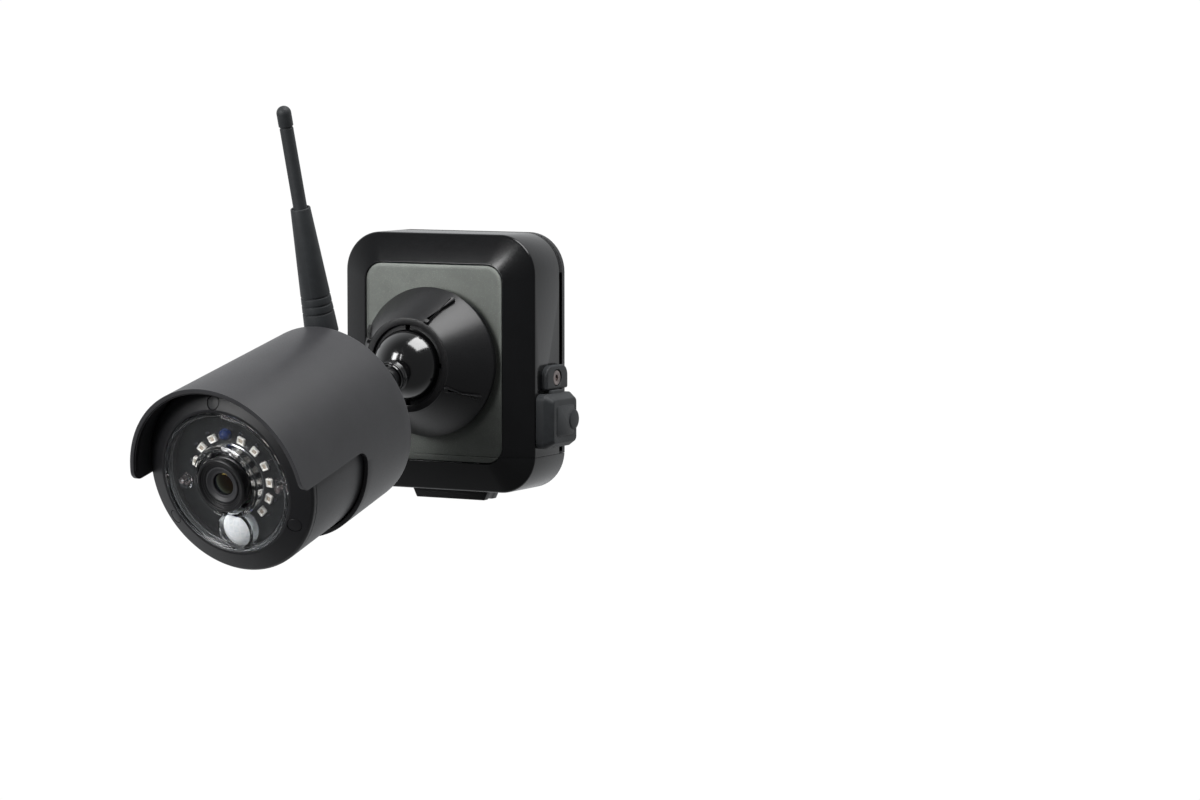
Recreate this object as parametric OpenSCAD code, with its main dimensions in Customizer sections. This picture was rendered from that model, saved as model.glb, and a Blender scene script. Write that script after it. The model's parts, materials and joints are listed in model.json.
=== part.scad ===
// Outdoor bullet security camera on a ball mount, carried by a wall-mounted battery pack.
// Frame: origin at the centre of the pack's back face, +X to the right seen from the front,
// +Y into the wall, +Z up. All sizes are in millimetres.

/* [Battery pack] */
// Width of the battery pack
pack_w = 86; // [85:0.5:90]
// Height of the battery pack
pack_h = 102; // [101:0.5:106]
// Radius of the pack's outer corners
pack_corner_r = 15.5; // [12:0.5:18]
// Depth of the straight side walls, up to the bevel
wall_depth = 25; // [24:0.5:26]
// Depth from the wall to the ridge around the front panel
pack_d = 30; // [30:0.25:31]
// Thickness of the moulded pack walls
pack_wall = 2.2; // [1.8:0.1:2.6]
// Height of the seam between the shell and the battery end cap
seam_up = -36.4; // [-37:0.1:-36]
// Width of the metallic front panel
panel_w = 62; // [60:0.5:66]
// Height of the metallic front panel
panel_h = 78; // [76:0.5:80]

/* [Ball mount] */
// Radius of the ball
ball_r = 14.5; // [14.3:0.1:14.6]
// Distance of the ball's centre from the wall
ball_out = 47.2; // [47:0.1:47.4]
// Height of the ball's centre above the pack's centre
ball_up = 0.5; // [0:0.1:2]
// Largest radius of the clamp collar
collar_r = 29.8; // [29.5:0.1:30.5]

/* [Camera head] */
// Sideways aim of the head, in degrees
head_pan = 3; // [0:0.5:6]
// Downward aim of the head, in degrees
head_down = 16; // [10:0.5:20]
// Outer radius of the sun shade at its rear
shade_rear_r = 35.9; // [35.7:0.1:36.2]
// Outer radius of the sun shade at its front
shade_front_r = 38.8; // [38.6:0.1:39.5]
// Distance from the ball's centre to the shade's rear edge
shade_rear = 56.1; // [56:0.1:56.5]
// Distance from the ball's centre to the visor's front edge
shade_front = 133.8; // [133:0.1:136]
// Distance from the ball's centre to the edge of the shade under the barrel
shade_cut = 89.3; // [80:0.5:100]
// Radius of the ring of infrared lamps
led_ring_r = 16; // [15.8:0.1:16.3]

/* [Antenna] */
// Height of the antenna's tip above the head's axis
antenna_top = 120; // [110:1:135]
// Radius of the whip
whip_r = 2.65; // [2.4:0.05:3]
// Radius of the sleeve at its foot
sleeve_foot_r = 6.5; // [6:0.1:6.6]
// Radius of the sleeve at its top
sleeve_top_r = 3.8; // [3.6:0.1:4.4]

/* [Hidden] */
$fn = 96;
hull_fn = 40;
gap = 0.15;
skin = 0.1;
run_fit = 0.06;

// Colours
black_gloss = [0.05, 0.05, 0.055];
black_satin = [0.13, 0.13, 0.14];
charcoal = [0.22, 0.22, 0.23];
gunmetal = [0.38, 0.39, 0.38];
rubber_black = [0.16, 0.17, 0.18];
steel = [0.66, 0.62, 0.6];
brass = [0.78, 0.62, 0.3];
board_green = [0.06, 0.25, 0.14];
board_black = [0.06, 0.07, 0.07];
clear_tint = [0.85, 0.9, 0.92, 0.35];
cell_blue = [0.12, 0.3, 0.55];
lamp_white = [0.88, 0.86, 0.82];
filter_blue = [0.04, 0.07, 0.2];
milky = [0.93, 0.95, 0.96];
glass_tint = [0.1, 0.1, 0.14, 0.7];
chip_black = [0.2, 0.22, 0.3];

// Battery pack
cover_t = pack_wall;
lip = 0.6;
panel_t = 1.2;
panel_sink = 0.3;
panel_corner_r = 7;
cavity_front = pack_d - 3.6;
panel_back = pack_d - panel_t - panel_sink;
cover_screw_at = [[-36.5, 42.5], [36.5, 42.5], [-36.5, -1.5], [36.5, -1.5]];
cover_screw_r = 1.25;
boss_r = 3.2;
boss_depth = 14;
anchor_boss_len = 5;
cover_sink_r = 2.7;
cover_sink = 1.4;
keyhole_at = [28, -22];
keyhole_r = 2.1;
keyhole_entry_r = 4.2;
keyhole_len = 10;
keyhole_drop = 6.5;
insert_r = 2.55;
insert_wall = 1.4;
insert_len = 7;
insert_up = 8;
screw_turns = [45 : 90 : 315];

// Battery cartridge
cell_r = 9.2;
cell_len = 65.2;
cell_pitch = 19.5;
cell_foot = -31;
cell_out = 16.1;
cell_button_r = 3.2;
cell_button_h = 1.2;
tray_w = 60;
tray_floor = 5.4;
tray_t = 1.2;
tray_end_d = 17;
tray_side_d = 9;
tray_rib_t = 1.6;
tray_rib_d = 5;
tray_screw_r = 1.2;
tray_top = cell_foot + cell_len + 2.8;
tray_foot = cell_foot - 2.2;
spigot_in = 0.5;
spigot_t = 1.2;
spigot_h = 2.8;
post_x = 18;
post_r = 3;
spigot_front = wall_depth - 2.5;
contact_xs = [-8, 0, 8];
contact_w = 3;
contact_t = 0.6;
contact_out = 12;
contact_len = 9;
tip_contact_r = 3;
plate_contact_r = 5;
side_contact_r = 2;
side_contact_shift = [4.4, 3];

// Release latch
latch_w = 35;
latch_drop = 4.4;
latch_depth = 10;
latch_out = 12;
latch_neck_w = 16;
latch_neck_d = 5;
latch_travel = 3;
latch_slope = 2;
catch_w = 22;
catch_t = 1.6;
catch_d = 9;

// Charging port on the right-hand side, as distances out from the wall and heights
port_out = 12.4;
port_up = -22.3;
port_w = 14;
port_h = 15;
port_sink = 1.2;
usb_up = -25.2;
usb_w = 7.5;
usb_t = 2.7;
button_up = -17.8;
button_r = 1.8;
button_foot = 3.4;
switch_w = 4;
switch_h = 1.5;
side_x = pack_w / 2;
board_x = side_x - 7.8;
board_t = 1.6;
charge_board_w = 17;
charge_board_h = 19.6;
charge_hole_at = [[-6.5, -8], [-6.5, 8]];
port_open = 5;
cap_w = 23.6;
cap_h = 21.4;
cap_face_w = 18.8;
cap_face_h = 17;
cap_proud = 7;
cap_side_t = 3.4;
cap_tab_r = 4.2;
cap_tab_h = 2.8;
plug_t = 1.5;
hinge_x = side_x + 2.7;
hinge_up = -10.85;
hinge_r = 0.6;
hinge_len = 10;
anchor_w = 17.4;
anchor_out = 10.5;
anchor_foot = hinge_up + hinge_r + skin;
anchor_top = -0.6;
anchor_t = 2.4;
anchor_corner_r = 4.5;
anchor_sink = 0.9;
anchor_screw_up = -5.7;
anchor_hole_r = 3.3;
port_screw_r = 3.05;
port_screw_hole_r = 1.3;

// Ball mount, as distances out from the wall
flange_r = 28.4;
flange_t = 2.5;
socket_back = pack_d - panel_sink;
socket_front = ball_out + 2.4;
thread_r = 22.2;
thread_front = 39;
finger_root_r = 20.4;
finger_tip_r = 17.6;
socket_screw_at = 25.4;
socket_screw_r = 1.2;
finger_slot_w = 2;
finger_slot_back = thread_front + 2.4;
pad_r = 7;
pad_hole_r = 3.2;
pad_back = socket_back + 1.3;
pad_t = 4;
collar_back = socket_back + 3.3;
collar_front = 51;
collar_lip_r = 15.7;
collar_nose_r = 18.6;
collar_skirt_r = 28.2;
collar_wall_r = 27.6;
collar_seat = 44.4;
collar_seat_r = 19.5;
collar_throat_r = 17.9;
ring_r = 22.1;
ring_back = 40.6;
ring_front = 44;
rib_w = 2.5;
rib_proud = 1.3;
rib_foot = 3;
lug_w = 1.8;
lug_len = 2.1;
rib_turn = 62.5;

// Head, as distances forward of the ball's centre
flange_ring_r = 6.3;
flange_ring_front = 15.2;
ball_front = 15.8;
neck_foot = 4;
neck_r = 4.8;
neck_spigot_r = 3.6;
lead_bore_r = 2.4;
lead_r = 1.9;
neck_end = 66;
grip_first = 18;
grip_step = 2.4;
grip_count = 4;
grip_t = 1.2;
nut_r = 8;
nut_t = 4;
clip_r = 7.4;
clip_t = 1;
clip_gap = 3.2;
cap_boss = 44;
cap_plate = 60;
cap_plate_t = 3.4;
cap_rim_r = 33.4;
cap_boss_r = 8.2;
cap_dish_r = 12.5;
cap_foot_r = 15;
cap_collar_t = 4;
rear_screw_r = 1.2;
rear_sink_r = 2.8;
rear_sink = 1.4;
barrel_back = 64;
barrel_front = 122.2;
barrel_rear_r = 34;
barrel_front_r = 36.2;
barrel_bore_r = 31.5;
shade_t = 1.6;
shade_edge_r = 2.2;
shade_slope = (shade_front_r - shade_rear_r) / (shade_front - shade_rear);
visor_corner_r = 4;
shade_screw_s = 74;
shade_screw_r = 1.2;
shade_sink_r = 2.7;
shade_bead_t = 2.2;
shade_arch_r = 5;
shade_arch_up = 0.4;
bezel_r = 36.2;
bezel_nose = 127.9;
bezel_bore_r = 26.2;
bezel_side_t = 1.8;
bezel_seat_t = 2.1;
bezel_screw_r = 1.2;
bezel_head_r = 2.2;
window_r = 27.3;
window_rim_r = 25.9;
window_plate = 126.4;
window_plate_t = 1.2;
window_rim_front = 128.2;
window_front = 128.6;
tube_back = 122.8;
lens_tube_front = 129;
lens_tube_r = 13.4;
lens_tube_bore_r = 12.2;
pir_tube_front = 128;
pir_tube_t = 1.3;
plug_at = 31;
plug_turns = [90, -30, -150];
plug_r = 2.58;
led_board_front = 121.8;
led_board_t = 1.2;
led_board_r = 27.2;
led_board_hole_r = 10.9;
led_size = 3.1;
led_h = 1.3;
led_well_r = 1.15;
led_step = 23.5;
led_turns = [for (k = [-6 : 3]) if (k != 0) 90 + k * led_step];
status_led_at = [[-21.6, -2.3], [21.6, -2.3]];
status_led_r = 2.5;
status_dome_s = 1.8;
light_sensor_up = 17;
light_sensor_r = 2.5;
light_sensor_h = 3.5;
pir_up = -19.2;
pir_r = 6.6;
pir_front = 128.4;
pir_dome_r = 9;
pir_t = 0.9;
pir_can_r = 4.1;
pir_can_h = 3;
lens_ring_r = 10.4;
lens_front = 131.6;
lens_body_r = 9.6;
lens_lip_r = 9.3;
lens_back = 110;
lens_bore_r = 3.5;
lens_thread_r = 7.9;
lens_thread_front = 118.3;
iris_r = 7;
glass_r = 4.4;
glass_dome_r = 9.5;
holder_w = 22;
holder_cavity_w = 18;
holder_h = 6;
holder_neck_r = 10;
sensor_board_front = 106;
main_board_front = 89.6;
sensor_board_w = 40;
main_board_w = 42;
imager_w = 10;
imager_field = [7, 5.4];
chip_h = 2.6;
board_post_at = 16.5;
board_post_r = 2.6;
rear_screw_at = 27.5;
rear_screw_turns = [30, 150, 270];
boss_shift = 1.2;
boss_recess = 0.5;
rear_boss_len = 14;
plug_boss_r = 2.8;
plug_boss_back = 104;
plug_screw_len = 13;

// Antenna, in the head's frame
jack_x = -4.3;
jack_up = 24;
jack_r = 3.2;
fold_s = 48.2;
knuckle_r = 5.2;
tongue_t = 5.6;
tongue_w = 6.2;
tongue_gap = 0.15;
ear_h = 5.6;
connector_r = 4.9;
ear_out = 5.9;
fold_pin_r = 1.5;
sleeve_foot = 30;
sleeve_top = 80;
tip_len = 8.5;
tip_r = whip_r + 0.15;
groove_w = 0.8;
groove_depth = 0.4;
groove_ups = [38.4, 41.6, 44.8];

// ---------- Frames ----------

// Local x across, y up, z out of the wall
module from_wall() rotate([90, 0, 0]) children();

// The same, centred on the ball mount's axis
module on_mount() from_wall() translate([0, ball_up, 0]) children();

// Local x into the wall, y up, z out of the right-hand side
module on_side() rotate([90, 0, 90]) children();

// Local x across, y up, z forward along the camera's axis, from the ball's centre
module in_head()
    translate([0, -ball_out, ball_up])
    rotate([0, 0, -head_pan])
    rotate([head_down, 0, 0])
    rotate([90, 0, 0])
    children();

// Antenna frame: local z up along the antenna, origin on the fold hinge
module on_antenna() in_head() translate([jack_x, jack_up, fold_s]) rotate([-90, 0, 0]) children();

// ---------- Shared shapes ----------

module round_rect(w, h, r) {
    square([w - 2 * r, h], center = true);
    square([w, h - 2 * r], center = true);
    for (x = [-1, 1], y = [-1, 1]) {
        translate([x * (w / 2 - r), y * (h / 2 - r)]) circle(r);
    }
}

// Ring between two radii, from height z0 to z1
module tube(r_out, r_in, z0, z1) {
    translate([0, 0, z0]) difference() {
        cylinder(r = r_out, h = z1 - z0);
        translate([0, 0, -1]) cylinder(r = r_in, h = z1 - z0 + 2);
    }
}

module rod(r, z0, z1) translate([0, 0, z0]) cylinder(r = r, h = z1 - z0);

module cone(r0, r1, z0, z1) translate([0, 0, z0]) cylinder(r1 = r0, r2 = r1, h = z1 - z0);

module slab(w, h, z0, z1) translate([-w / 2, -h / 2, z0]) cube([w, h, z1 - z0]);

// Countersunk screw along z with its head's top at z = 0 and its point at -len
module flat_screw(r, len, head_r) {
    head_h = head_r - r;
    difference() {
        union() {
            rod(r, -len, -head_h / 2);
            cone(r, head_r, -head_h, 0);
        }
        translate([0, 0, -0.6 * head_h]) cross_recess(head_r * 0.5, head_h);
    }
}

// Socket-head screw along z with its head's top at z = 0
module cap_screw(r, len, head_r, head_h) {
    difference() {
        union() {
            rod(r, -len, -head_h / 2);
            rod(head_r, -head_h, 0);
        }
        translate([0, 0, -0.6 * head_h]) cylinder(r = head_r * 0.5, h = head_h, $fn = 6);
    }
}

module cross_recess(reach, h) {
    for (turn = [0, 90]) {
        rotate(turn) translate([-reach, -reach / 5, 0]) cube([2 * reach, reach / 2.5, h]);
    }
}

// ---------- Battery pack ----------

module pack_outline(inset = 0)
    round_rect(pack_w - 2 * inset, pack_h - 2 * inset, pack_corner_r - inset);

module panel_outline(grow = 0)
    round_rect(panel_w + 2 * grow, panel_h + 2 * grow, panel_corner_r + grow);

// Straight walls, then a bevel up to the ridge around the panel
module pack_form() {
    hull($fn = hull_fn) {
        linear_extrude(wall_depth) pack_outline($fn = hull_fn);
        linear_extrude(pack_d) panel_outline(lip, $fn = hull_fn);
    }
}

module pack_cavity() {
    translate([0, 0, cover_t]) hull() {
        linear_extrude(wall_depth - cover_t - 1) pack_outline(pack_wall, $fn = hull_fn);
        linear_extrude(cavity_front - cover_t) panel_outline(-1, $fn = hull_fn);
    }
}

// Everything above the seam, or below it when side is -1
module seam_half(side) {
    reach = 2 * pack_h;
    y0 = side > 0 ? seam_up + gap / 2 : seam_up - gap / 2 - reach;
    translate([-reach / 2, y0, -1]) cube([reach, reach, pack_d + 2]);
}

module panel_recess() translate([0, 0, panel_back]) linear_extrude(pack_d) panel_outline(gap);

module front_shell() {
    color(black_gloss) from_wall() difference() {
        union() {
            intersection() {
                difference() {
                    pack_form();
                    pack_cavity();
                    translate([-pack_w, -pack_h, -1]) cube([2 * pack_w, 2 * pack_h, cover_t + 1 + skin]);
                    panel_recess();
                }
                seam_half(1);
            }
            for (at = cover_screw_at) {
                translate(at) rod(boss_r, cover_t + skin, cavity_front + 0.5);
            }
            translate([side_x - anchor_boss_len - 1, anchor_screw_up, anchor_out]) rotate([0, 90, 0])
                cylinder(r = boss_r, h = anchor_boss_len);
        }
        for (at = cover_screw_at) {
            translate(at) rod(cover_screw_r, 0, boss_depth);
        }
        for (turn = screw_turns) {
            translate([0, ball_up, 0]) rotate(turn) translate([socket_screw_at, 0, 0])
                rod(cover_screw_r, cavity_front - 1, pack_d);
        }
        translate([0, ball_up, 0]) rod(pad_hole_r, cavity_front - 1, pack_d);
        rotate([-90, 0, 0]) port_cutouts();
    }
}

// The recess, the openings in its floor and the anchor's screw hole, cut from the right-hand side
module port_cutouts() {
    on_side() {
        translate([-port_out, port_up, side_x - port_sink]) linear_extrude(port_open) round_rect(port_w, port_h, 2);
        translate([-port_out, usb_up, 0]) slab(usb_t + 0.6, usb_w + 0.6, side_x - port_open, side_x);
        translate([-port_out, button_up, 0]) rod(button_r + run_fit, side_x - port_open, side_x);
        translate([-anchor_out, anchor_screw_up, 0]) rod(port_screw_hole_r, side_x - anchor_boss_len - 2, side_x + 1);
    }
}

module front_panel() {
    color(gunmetal) from_wall() difference() {
        intersection() {
            translate([0, 0, panel_back]) linear_extrude(panel_t) panel_outline();
            seam_half(1);
        }
        translate([0, ball_up, 0]) rod(pad_hole_r, 0, pack_d);
        for (turn = screw_turns) {
            translate([0, ball_up, 0]) rotate(turn) translate([socket_screw_at, 0, 0])
                rod(cover_screw_r, 0, pack_d);
        }
    }
}

module keyhole() {
    for (end = [-1, 1]) {
        translate([0, end * (keyhole_len / 2 - keyhole_r), 0]) rod(keyhole_r, -1, cover_t + 1);
    }
    slab(2 * keyhole_r, keyhole_len - 2 * keyhole_r, -1, cover_t + 1);
    translate([0, -keyhole_drop, 0]) rod(keyhole_entry_r, -1, cover_t + 1);
}

module back_cover() {
    color(black_satin) from_wall() difference() {
        union() {
            intersection() {
                linear_extrude(cover_t) pack_outline();
                seam_half(1);
            }
            translate([0, insert_up, 0]) rod(insert_r + insert_wall + 1.5, cover_t / 2, tray_floor - 0.4);
        }
        for (up = keyhole_at) {
            translate([0, up, 0]) keyhole();
        }
        translate([0, insert_up, 0]) rod(insert_r + insert_wall, -1, insert_len);
        for (at = cover_screw_at) {
            translate(at) rod(cover_screw_r + 0.15, -1, cover_t + 1);
            translate(at) cone(cover_sink_r, cover_screw_r, -0.01, cover_sink);
        }
    }
}

module cover_screws() {
    color(steel) from_wall() {
        for (at = cover_screw_at) {
            translate(at) mirror([0, 0, 1]) flat_screw(cover_screw_r - 0.05, boss_depth - 2, cover_sink_r - 0.1);
        }
    }
}

module wall_insert() {
    color(brass) from_wall() translate([0, insert_up, 0])
        tube(insert_r + insert_wall - 0.02, insert_r, 0, tray_floor - 0.6);
}

module charge_board() {
    color(board_green) on_side() translate([-port_out, port_up + 0.5, 0]) difference() {
        slab(charge_board_w, charge_board_h, board_x, board_x + board_t);
        for (at = charge_hole_at) {
            translate(at) rod(1, board_x - 1, board_x + board_t + 1);
        }
    }
}

module usb_socket() {
    color(steel) on_side() translate([-port_out, usb_up, 0]) {
        difference() {
            slab(usb_t, usb_w, board_x + board_t, side_x - port_sink - 0.1);
            slab(usb_t - 0.7, usb_w - 0.7, board_x + board_t + 1, side_x);
        }
        slab(0.7, usb_w - 2.6, board_x + board_t + 0.5, side_x - port_sink - 1);
    }
}

module button_switch() {
    color(charcoal) on_side() translate([-port_out, button_up, 0]) {
        slab(switch_w, switch_w, board_x + board_t, board_x + board_t + switch_h);
        rod(switch_w / 4, board_x + board_t + switch_h, board_x + board_t + switch_h + 0.4);
    }
}

module pair_button() {
    color(rubber_black) on_side() translate([-port_out, button_up, 0]) {
        rod(button_r, side_x - button_foot, side_x - port_sink);
        rod(button_r + 0.7, side_x - button_foot, side_x - button_foot + 0.5);
    }
}

module anchor_outline() {
    r = anchor_corner_r;
    h = anchor_top - anchor_foot;
    translate([-anchor_out - anchor_w / 2, anchor_foot]) square([anchor_w, h - r]);
    translate([-anchor_out - anchor_w / 2 + r, anchor_foot]) square([anchor_w - 2 * r, h]);
    for (side = [-1, 1]) {
        translate([-anchor_out + side * (anchor_w / 2 - r), anchor_top - r]) circle(r);
    }
}

module port_anchor() {
    color(rubber_black) on_side() difference() {
        union() {
            translate([0, 0, side_x]) linear_extrude(anchor_t - 0.7) anchor_outline();
            translate([0, 0, side_x]) linear_extrude(anchor_t) offset(delta = -0.8) anchor_outline();
        }
        translate([-anchor_out, anchor_screw_up, 0]) {
            rod(anchor_hole_r, side_x + anchor_sink, side_x + 5);
            rod(port_screw_hole_r + 0.05, side_x - 1, side_x + 5);
        }
    }
}

module port_screw() {
    color(steel) on_side() translate([-anchor_out, anchor_screw_up, side_x + anchor_sink + 1.2])
        cap_screw(port_screw_hole_r - 0.05, 7, port_screw_r, 1.2);
}

module port_cap() {
    up = hinge_up - 0.75 - cap_h / 2;
    color(rubber_black) on_side() {
        translate([-port_out, up, side_x + skin / 2]) {
            hull() {
                linear_extrude(cap_side_t) round_rect(cap_w, cap_h, 2.5, $fn = 32);
                linear_extrude(cap_proud - skin) round_rect(cap_face_w, cap_face_h, 1.4, $fn = 32);
            }
            translate([cap_face_w / 2 - 2.6, 0, cap_proud - 2.4]) cylinder(r = cap_tab_r, h = cap_tab_h);
        }
        translate([-port_out, port_up, side_x - port_sink + gap]) linear_extrude(plug_t)
            round_rect(port_w - 1.4, port_h - 2, 1.5);
        translate([-port_out - hinge_len / 2, hinge_up, hinge_x]) rotate([0, 90, 0])
            cylinder(r = hinge_r, h = hinge_len);
        translate([-port_out - hinge_len / 2, hinge_up - 1.4, hinge_x - hinge_r])
            cube([hinge_len, 1.4, hinge_r * 2]);
    }
}

module bay_contacts() {
    color(brass) from_wall() {
        foot = tray_top + 0.4;
        for (x = contact_xs) {
            translate([x - contact_w / 2, foot, contact_out]) cube([contact_w, contact_t, contact_len]);
            translate([x - contact_w / 2, foot, contact_out + contact_len - contact_t])
                cube([contact_w, pack_h / 2 - pack_wall - foot, contact_t]);
        }
    }
}

// ---------- Battery cartridge ----------

module battery_cap() {
    inner_floor = -pack_h / 2 + pack_wall;
    color(black_gloss) from_wall() difference() {
        union() {
            intersection() {
                difference() {
                    pack_form();
                    pack_cavity();
                    panel_recess();
                }
                seam_half(-1);
            }
            spigot();
            for (x = [-post_x, post_x]) {
                translate([x, inner_floor - 0.5, cell_out]) rotate([-90, 0, 0])
                    cylinder(r = post_r, h = tray_foot - inner_floor + 0.5);
            }
        }
        translate([0, 0, latch_out]) rotate([90, 0, 0]) linear_extrude(pack_h)
            translate([-latch_neck_w / 2 - 0.3, -latch_neck_d / 2 - 0.3])
            square([latch_neck_w + 0.6, latch_neck_d + latch_travel + 0.6]);
        for (x = [-post_x, post_x]) {
            translate([x, tray_foot + 1, cell_out]) rotate([90, 0, 0]) cylinder(r = cover_screw_r, h = 12);
        }
    }
}

// Wall that reaches up into the shell's mouth
module spigot() {
    w = pack_w - 2 * pack_wall - 2 * spigot_in;
    back = cover_t + spigot_in;
    front = spigot_front;
    difference() {
        translate([-w / 2, seam_up - 2, back]) cube([w, spigot_h + 2, front - back]);
        translate([-w / 2 + spigot_t, seam_up - 3, back + spigot_t])
            cube([w - 2 * spigot_t, spigot_h + 4, front - back - 2 * spigot_t]);
    }
}

module cap_trim() {
    color(gunmetal) from_wall() intersection() {
        translate([0, 0, panel_back]) linear_extrude(panel_t) panel_outline();
        seam_half(-1);
    }
}

module cap_seal() {
    w = pack_w - 2 * pack_wall - 2 * spigot_in;
    back = cover_t + spigot_in;
    front = spigot_front;
    bead = 0.3;
    color(rubber_black) from_wall() translate([0, seam_up + 1, 0]) difference() {
        translate([-w / 2 - bead, 0, back - bead]) cube([w + 2 * bead, 1.2, front - back + 2 * bead]);
        translate([-w / 2, -1, back]) cube([w, 4, front - back]);
    }
}

module battery_tray() {
    color(charcoal) from_wall() difference() {
        union() {
            translate([-tray_w / 2, tray_foot, tray_floor]) cube([tray_w, tray_top - tray_foot, tray_t]);
            for (y = [tray_foot, tray_top - tray_t]) {
                translate([-tray_w / 2, y, tray_floor]) cube([tray_w, tray_t, tray_end_d]);
            }
            for (side = [-1, 1]) {
                translate([side * (tray_w - tray_t) / 2 - tray_t / 2, tray_foot, tray_floor])
                    cube([tray_t, tray_top - tray_foot, tray_side_d]);
                translate([side * cell_pitch / 2 - tray_rib_t / 2, tray_foot, tray_floor])
                    cube([tray_rib_t, tray_top - tray_foot, tray_rib_d]);
            }
        }
        for (x = [-post_x, post_x]) {
            translate([x, tray_foot + 3, cell_out]) rotate([90, 0, 0]) cylinder(r = tray_screw_r + 0.2, h = 6);
        }
    }
}

module tray_screws() {
    color(steel) from_wall() {
        for (x = [-post_x, post_x]) {
            translate([x, tray_foot + tray_t + 0.9, cell_out]) rotate([-90, 0, 0]) cap_screw(tray_screw_r, 9, 2 * tray_screw_r, 0.9);
        }
    }
}

module battery_cells() {
    for (k = [-1 : 1]) {
        from_wall() translate([k * cell_pitch, cell_foot, cell_out]) rotate([-90, 0, 0]) {
            color(cell_blue) rod(cell_r, 0, cell_len - cell_button_h);
            color(steel) rod(cell_button_r, cell_len - cell_button_h - 0.1, cell_len);
        }
    }
}

module cell_contacts() {
    color(brass) from_wall() {
        for (k = [-1 : 1]) {
            translate([k * cell_pitch, cell_foot + cell_len, cell_out]) rotate([-90, 0, 0]) {
                rod(tip_contact_r, 0, 0.8);
                rod(plate_contact_r, 0.8, tray_top - tray_t - cell_foot - cell_len);
            }
        }
        translate([0, tray_foot + tray_t, cell_out]) rotate([-90, 0, 0])
            rod(plate_contact_r, 0, cell_foot - tray_foot - tray_t);
        for (x = [-cell_pitch, cell_pitch]) {
            translate([x + sign(x) * side_contact_shift[0], tray_foot + tray_t, cell_out + side_contact_shift[1]])
                rotate([-90, 0, 0]) rod(side_contact_r, 0, cell_foot - tray_foot - tray_t);
        }
    }
}

module release_latch() {
    bottom = -pack_h / 2;
    color(black_satin) from_wall() translate([0, 0, latch_out - latch_depth / 2]) {
        linear_extrude(latch_depth) polygon([
            [-latch_w / 2, bottom - 0.2],
            [-latch_w / 2 + latch_slope, bottom - latch_drop],
            [latch_w / 2 - latch_slope, bottom - latch_drop],
            [latch_w / 2, bottom - 0.2]
        ]);
        translate([-latch_neck_w / 2, bottom - 1, (latch_depth - latch_neck_d) / 2])
            cube([latch_neck_w, pack_wall + 1.4, latch_neck_d]);
        translate([-catch_w / 2, bottom + pack_wall + 0.3, (latch_depth - catch_d) / 2])
            cube([catch_w, catch_t, catch_d]);
    }
}

// ---------- Ball mount ----------

module ball_socket() {
    color(black_gloss) on_mount() difference() {
        rotate_extrude() polygon([
            [0, socket_back],
            [flange_r, socket_back],
            [flange_r, socket_back + flange_t],
            [thread_r, socket_back + flange_t],
            [thread_r, thread_front],
            [finger_root_r, thread_front + 0.6],
            [finger_tip_r, socket_front],
            [0, socket_front]
        ]);
        translate([0, 0, ball_out]) sphere(ball_r + run_fit);
        rod(pad_r + run_fit, pad_back - run_fit, ball_out);
        rod(pad_hole_r, 0, ball_out);
        for (turn = [0, 90]) {
            rotate(turn) translate([-flange_r, -finger_slot_w / 2, finger_slot_back])
                cube([2 * flange_r, finger_slot_w, ball_out]);
        }
        for (turn = screw_turns) {
            rotate(turn) translate([socket_screw_at, 0, 0]) {
                rod(socket_screw_r + 0.2, 0, ball_out);
                cone(socket_screw_r + 0.1, 2.5, socket_back + flange_t - 1.2, socket_back + flange_t + 0.01);
            }
        }
    }
}

module socket_screws() {
    color(steel) on_mount() {
        for (turn = screw_turns) {
            rotate(turn) translate([socket_screw_at, 0, socket_back + flange_t]) flat_screw(socket_screw_r, 5.6, 2.35);
        }
    }
}

module seat_pad() {
    color(rubber_black) on_mount() difference() {
        tube(pad_r, pad_hole_r, pad_back, pad_back + pad_t);
        translate([0, 0, ball_out]) sphere(ball_r + 0.08);
    }
}

module pressure_ring() {
    color(charcoal) on_mount() rotate_extrude() polygon([
        [finger_root_r, ring_back],
        [ring_r, ring_back],
        [ring_r, ring_front],
        [collar_seat_r + 0.1, ring_front]
    ]);
}

module collar() {
    run = collar_r - collar_nose_r - 0.8;
    rise = collar_front - collar_back - 1.6;
    slope = atan2(rise, run);
    length = norm([run, rise]);
    color(black_satin) on_mount() {
        rotate_extrude() polygon([
            [collar_r - 0.8, collar_back],
            [collar_r, collar_back + 0.8],
            [collar_nose_r + 0.8, collar_front - 0.8],
            [collar_nose_r, collar_front],
            [collar_lip_r, collar_front],
            [collar_lip_r, collar_front - 1],
            [collar_throat_r, collar_front - 1],
            [collar_seat_r, collar_seat],
            [thread_r + 0.3, collar_seat],
            [thread_r + 0.3, collar_back + 0.4],
            [thread_r + 2, collar_back + 0.4],
            [thread_r + 2.4, collar_back + 5.6],
            [collar_wall_r, collar_back + 0.9],
            [collar_skirt_r, collar_back]
        ]);
        for (turn = [rib_turn : 90 : rib_turn + 270]) {
            rotate(turn) translate([collar_r, 0, collar_back + 0.8]) rotate([0, slope - 180, 0]) {
                translate([rib_foot, 0, -rib_proud]) {
                    translate([rib_w / 2, 0, 0]) cylinder(r = rib_w / 2, h = rib_proud + 1);
                    translate([rib_w / 2, -rib_w / 2, 0])
                        cube([length - rib_foot - rib_w / 2 + 0.4, rib_w, rib_proud + 1]);
                }
                translate([length - 0.6, -lug_w / 2, -rib_proud - 0.3]) cube([lug_len, lug_w, 2]);
            }
        }
    }
}

// ---------- Ball and neck ----------

module ball() {
    color(black_gloss) in_head() difference() {
        union() {
            sphere(ball_r);
            rod(flange_ring_r, ball_r / 2, flange_ring_front);
            rod(flange_ring_r - 0.6, flange_ring_front - 0.2, ball_front);
        }
        rod(lead_bore_r, -ball_r - 1, ball_r);
        rod(neck_spigot_r, neck_foot, ball_front + 4);
    }
}

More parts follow.
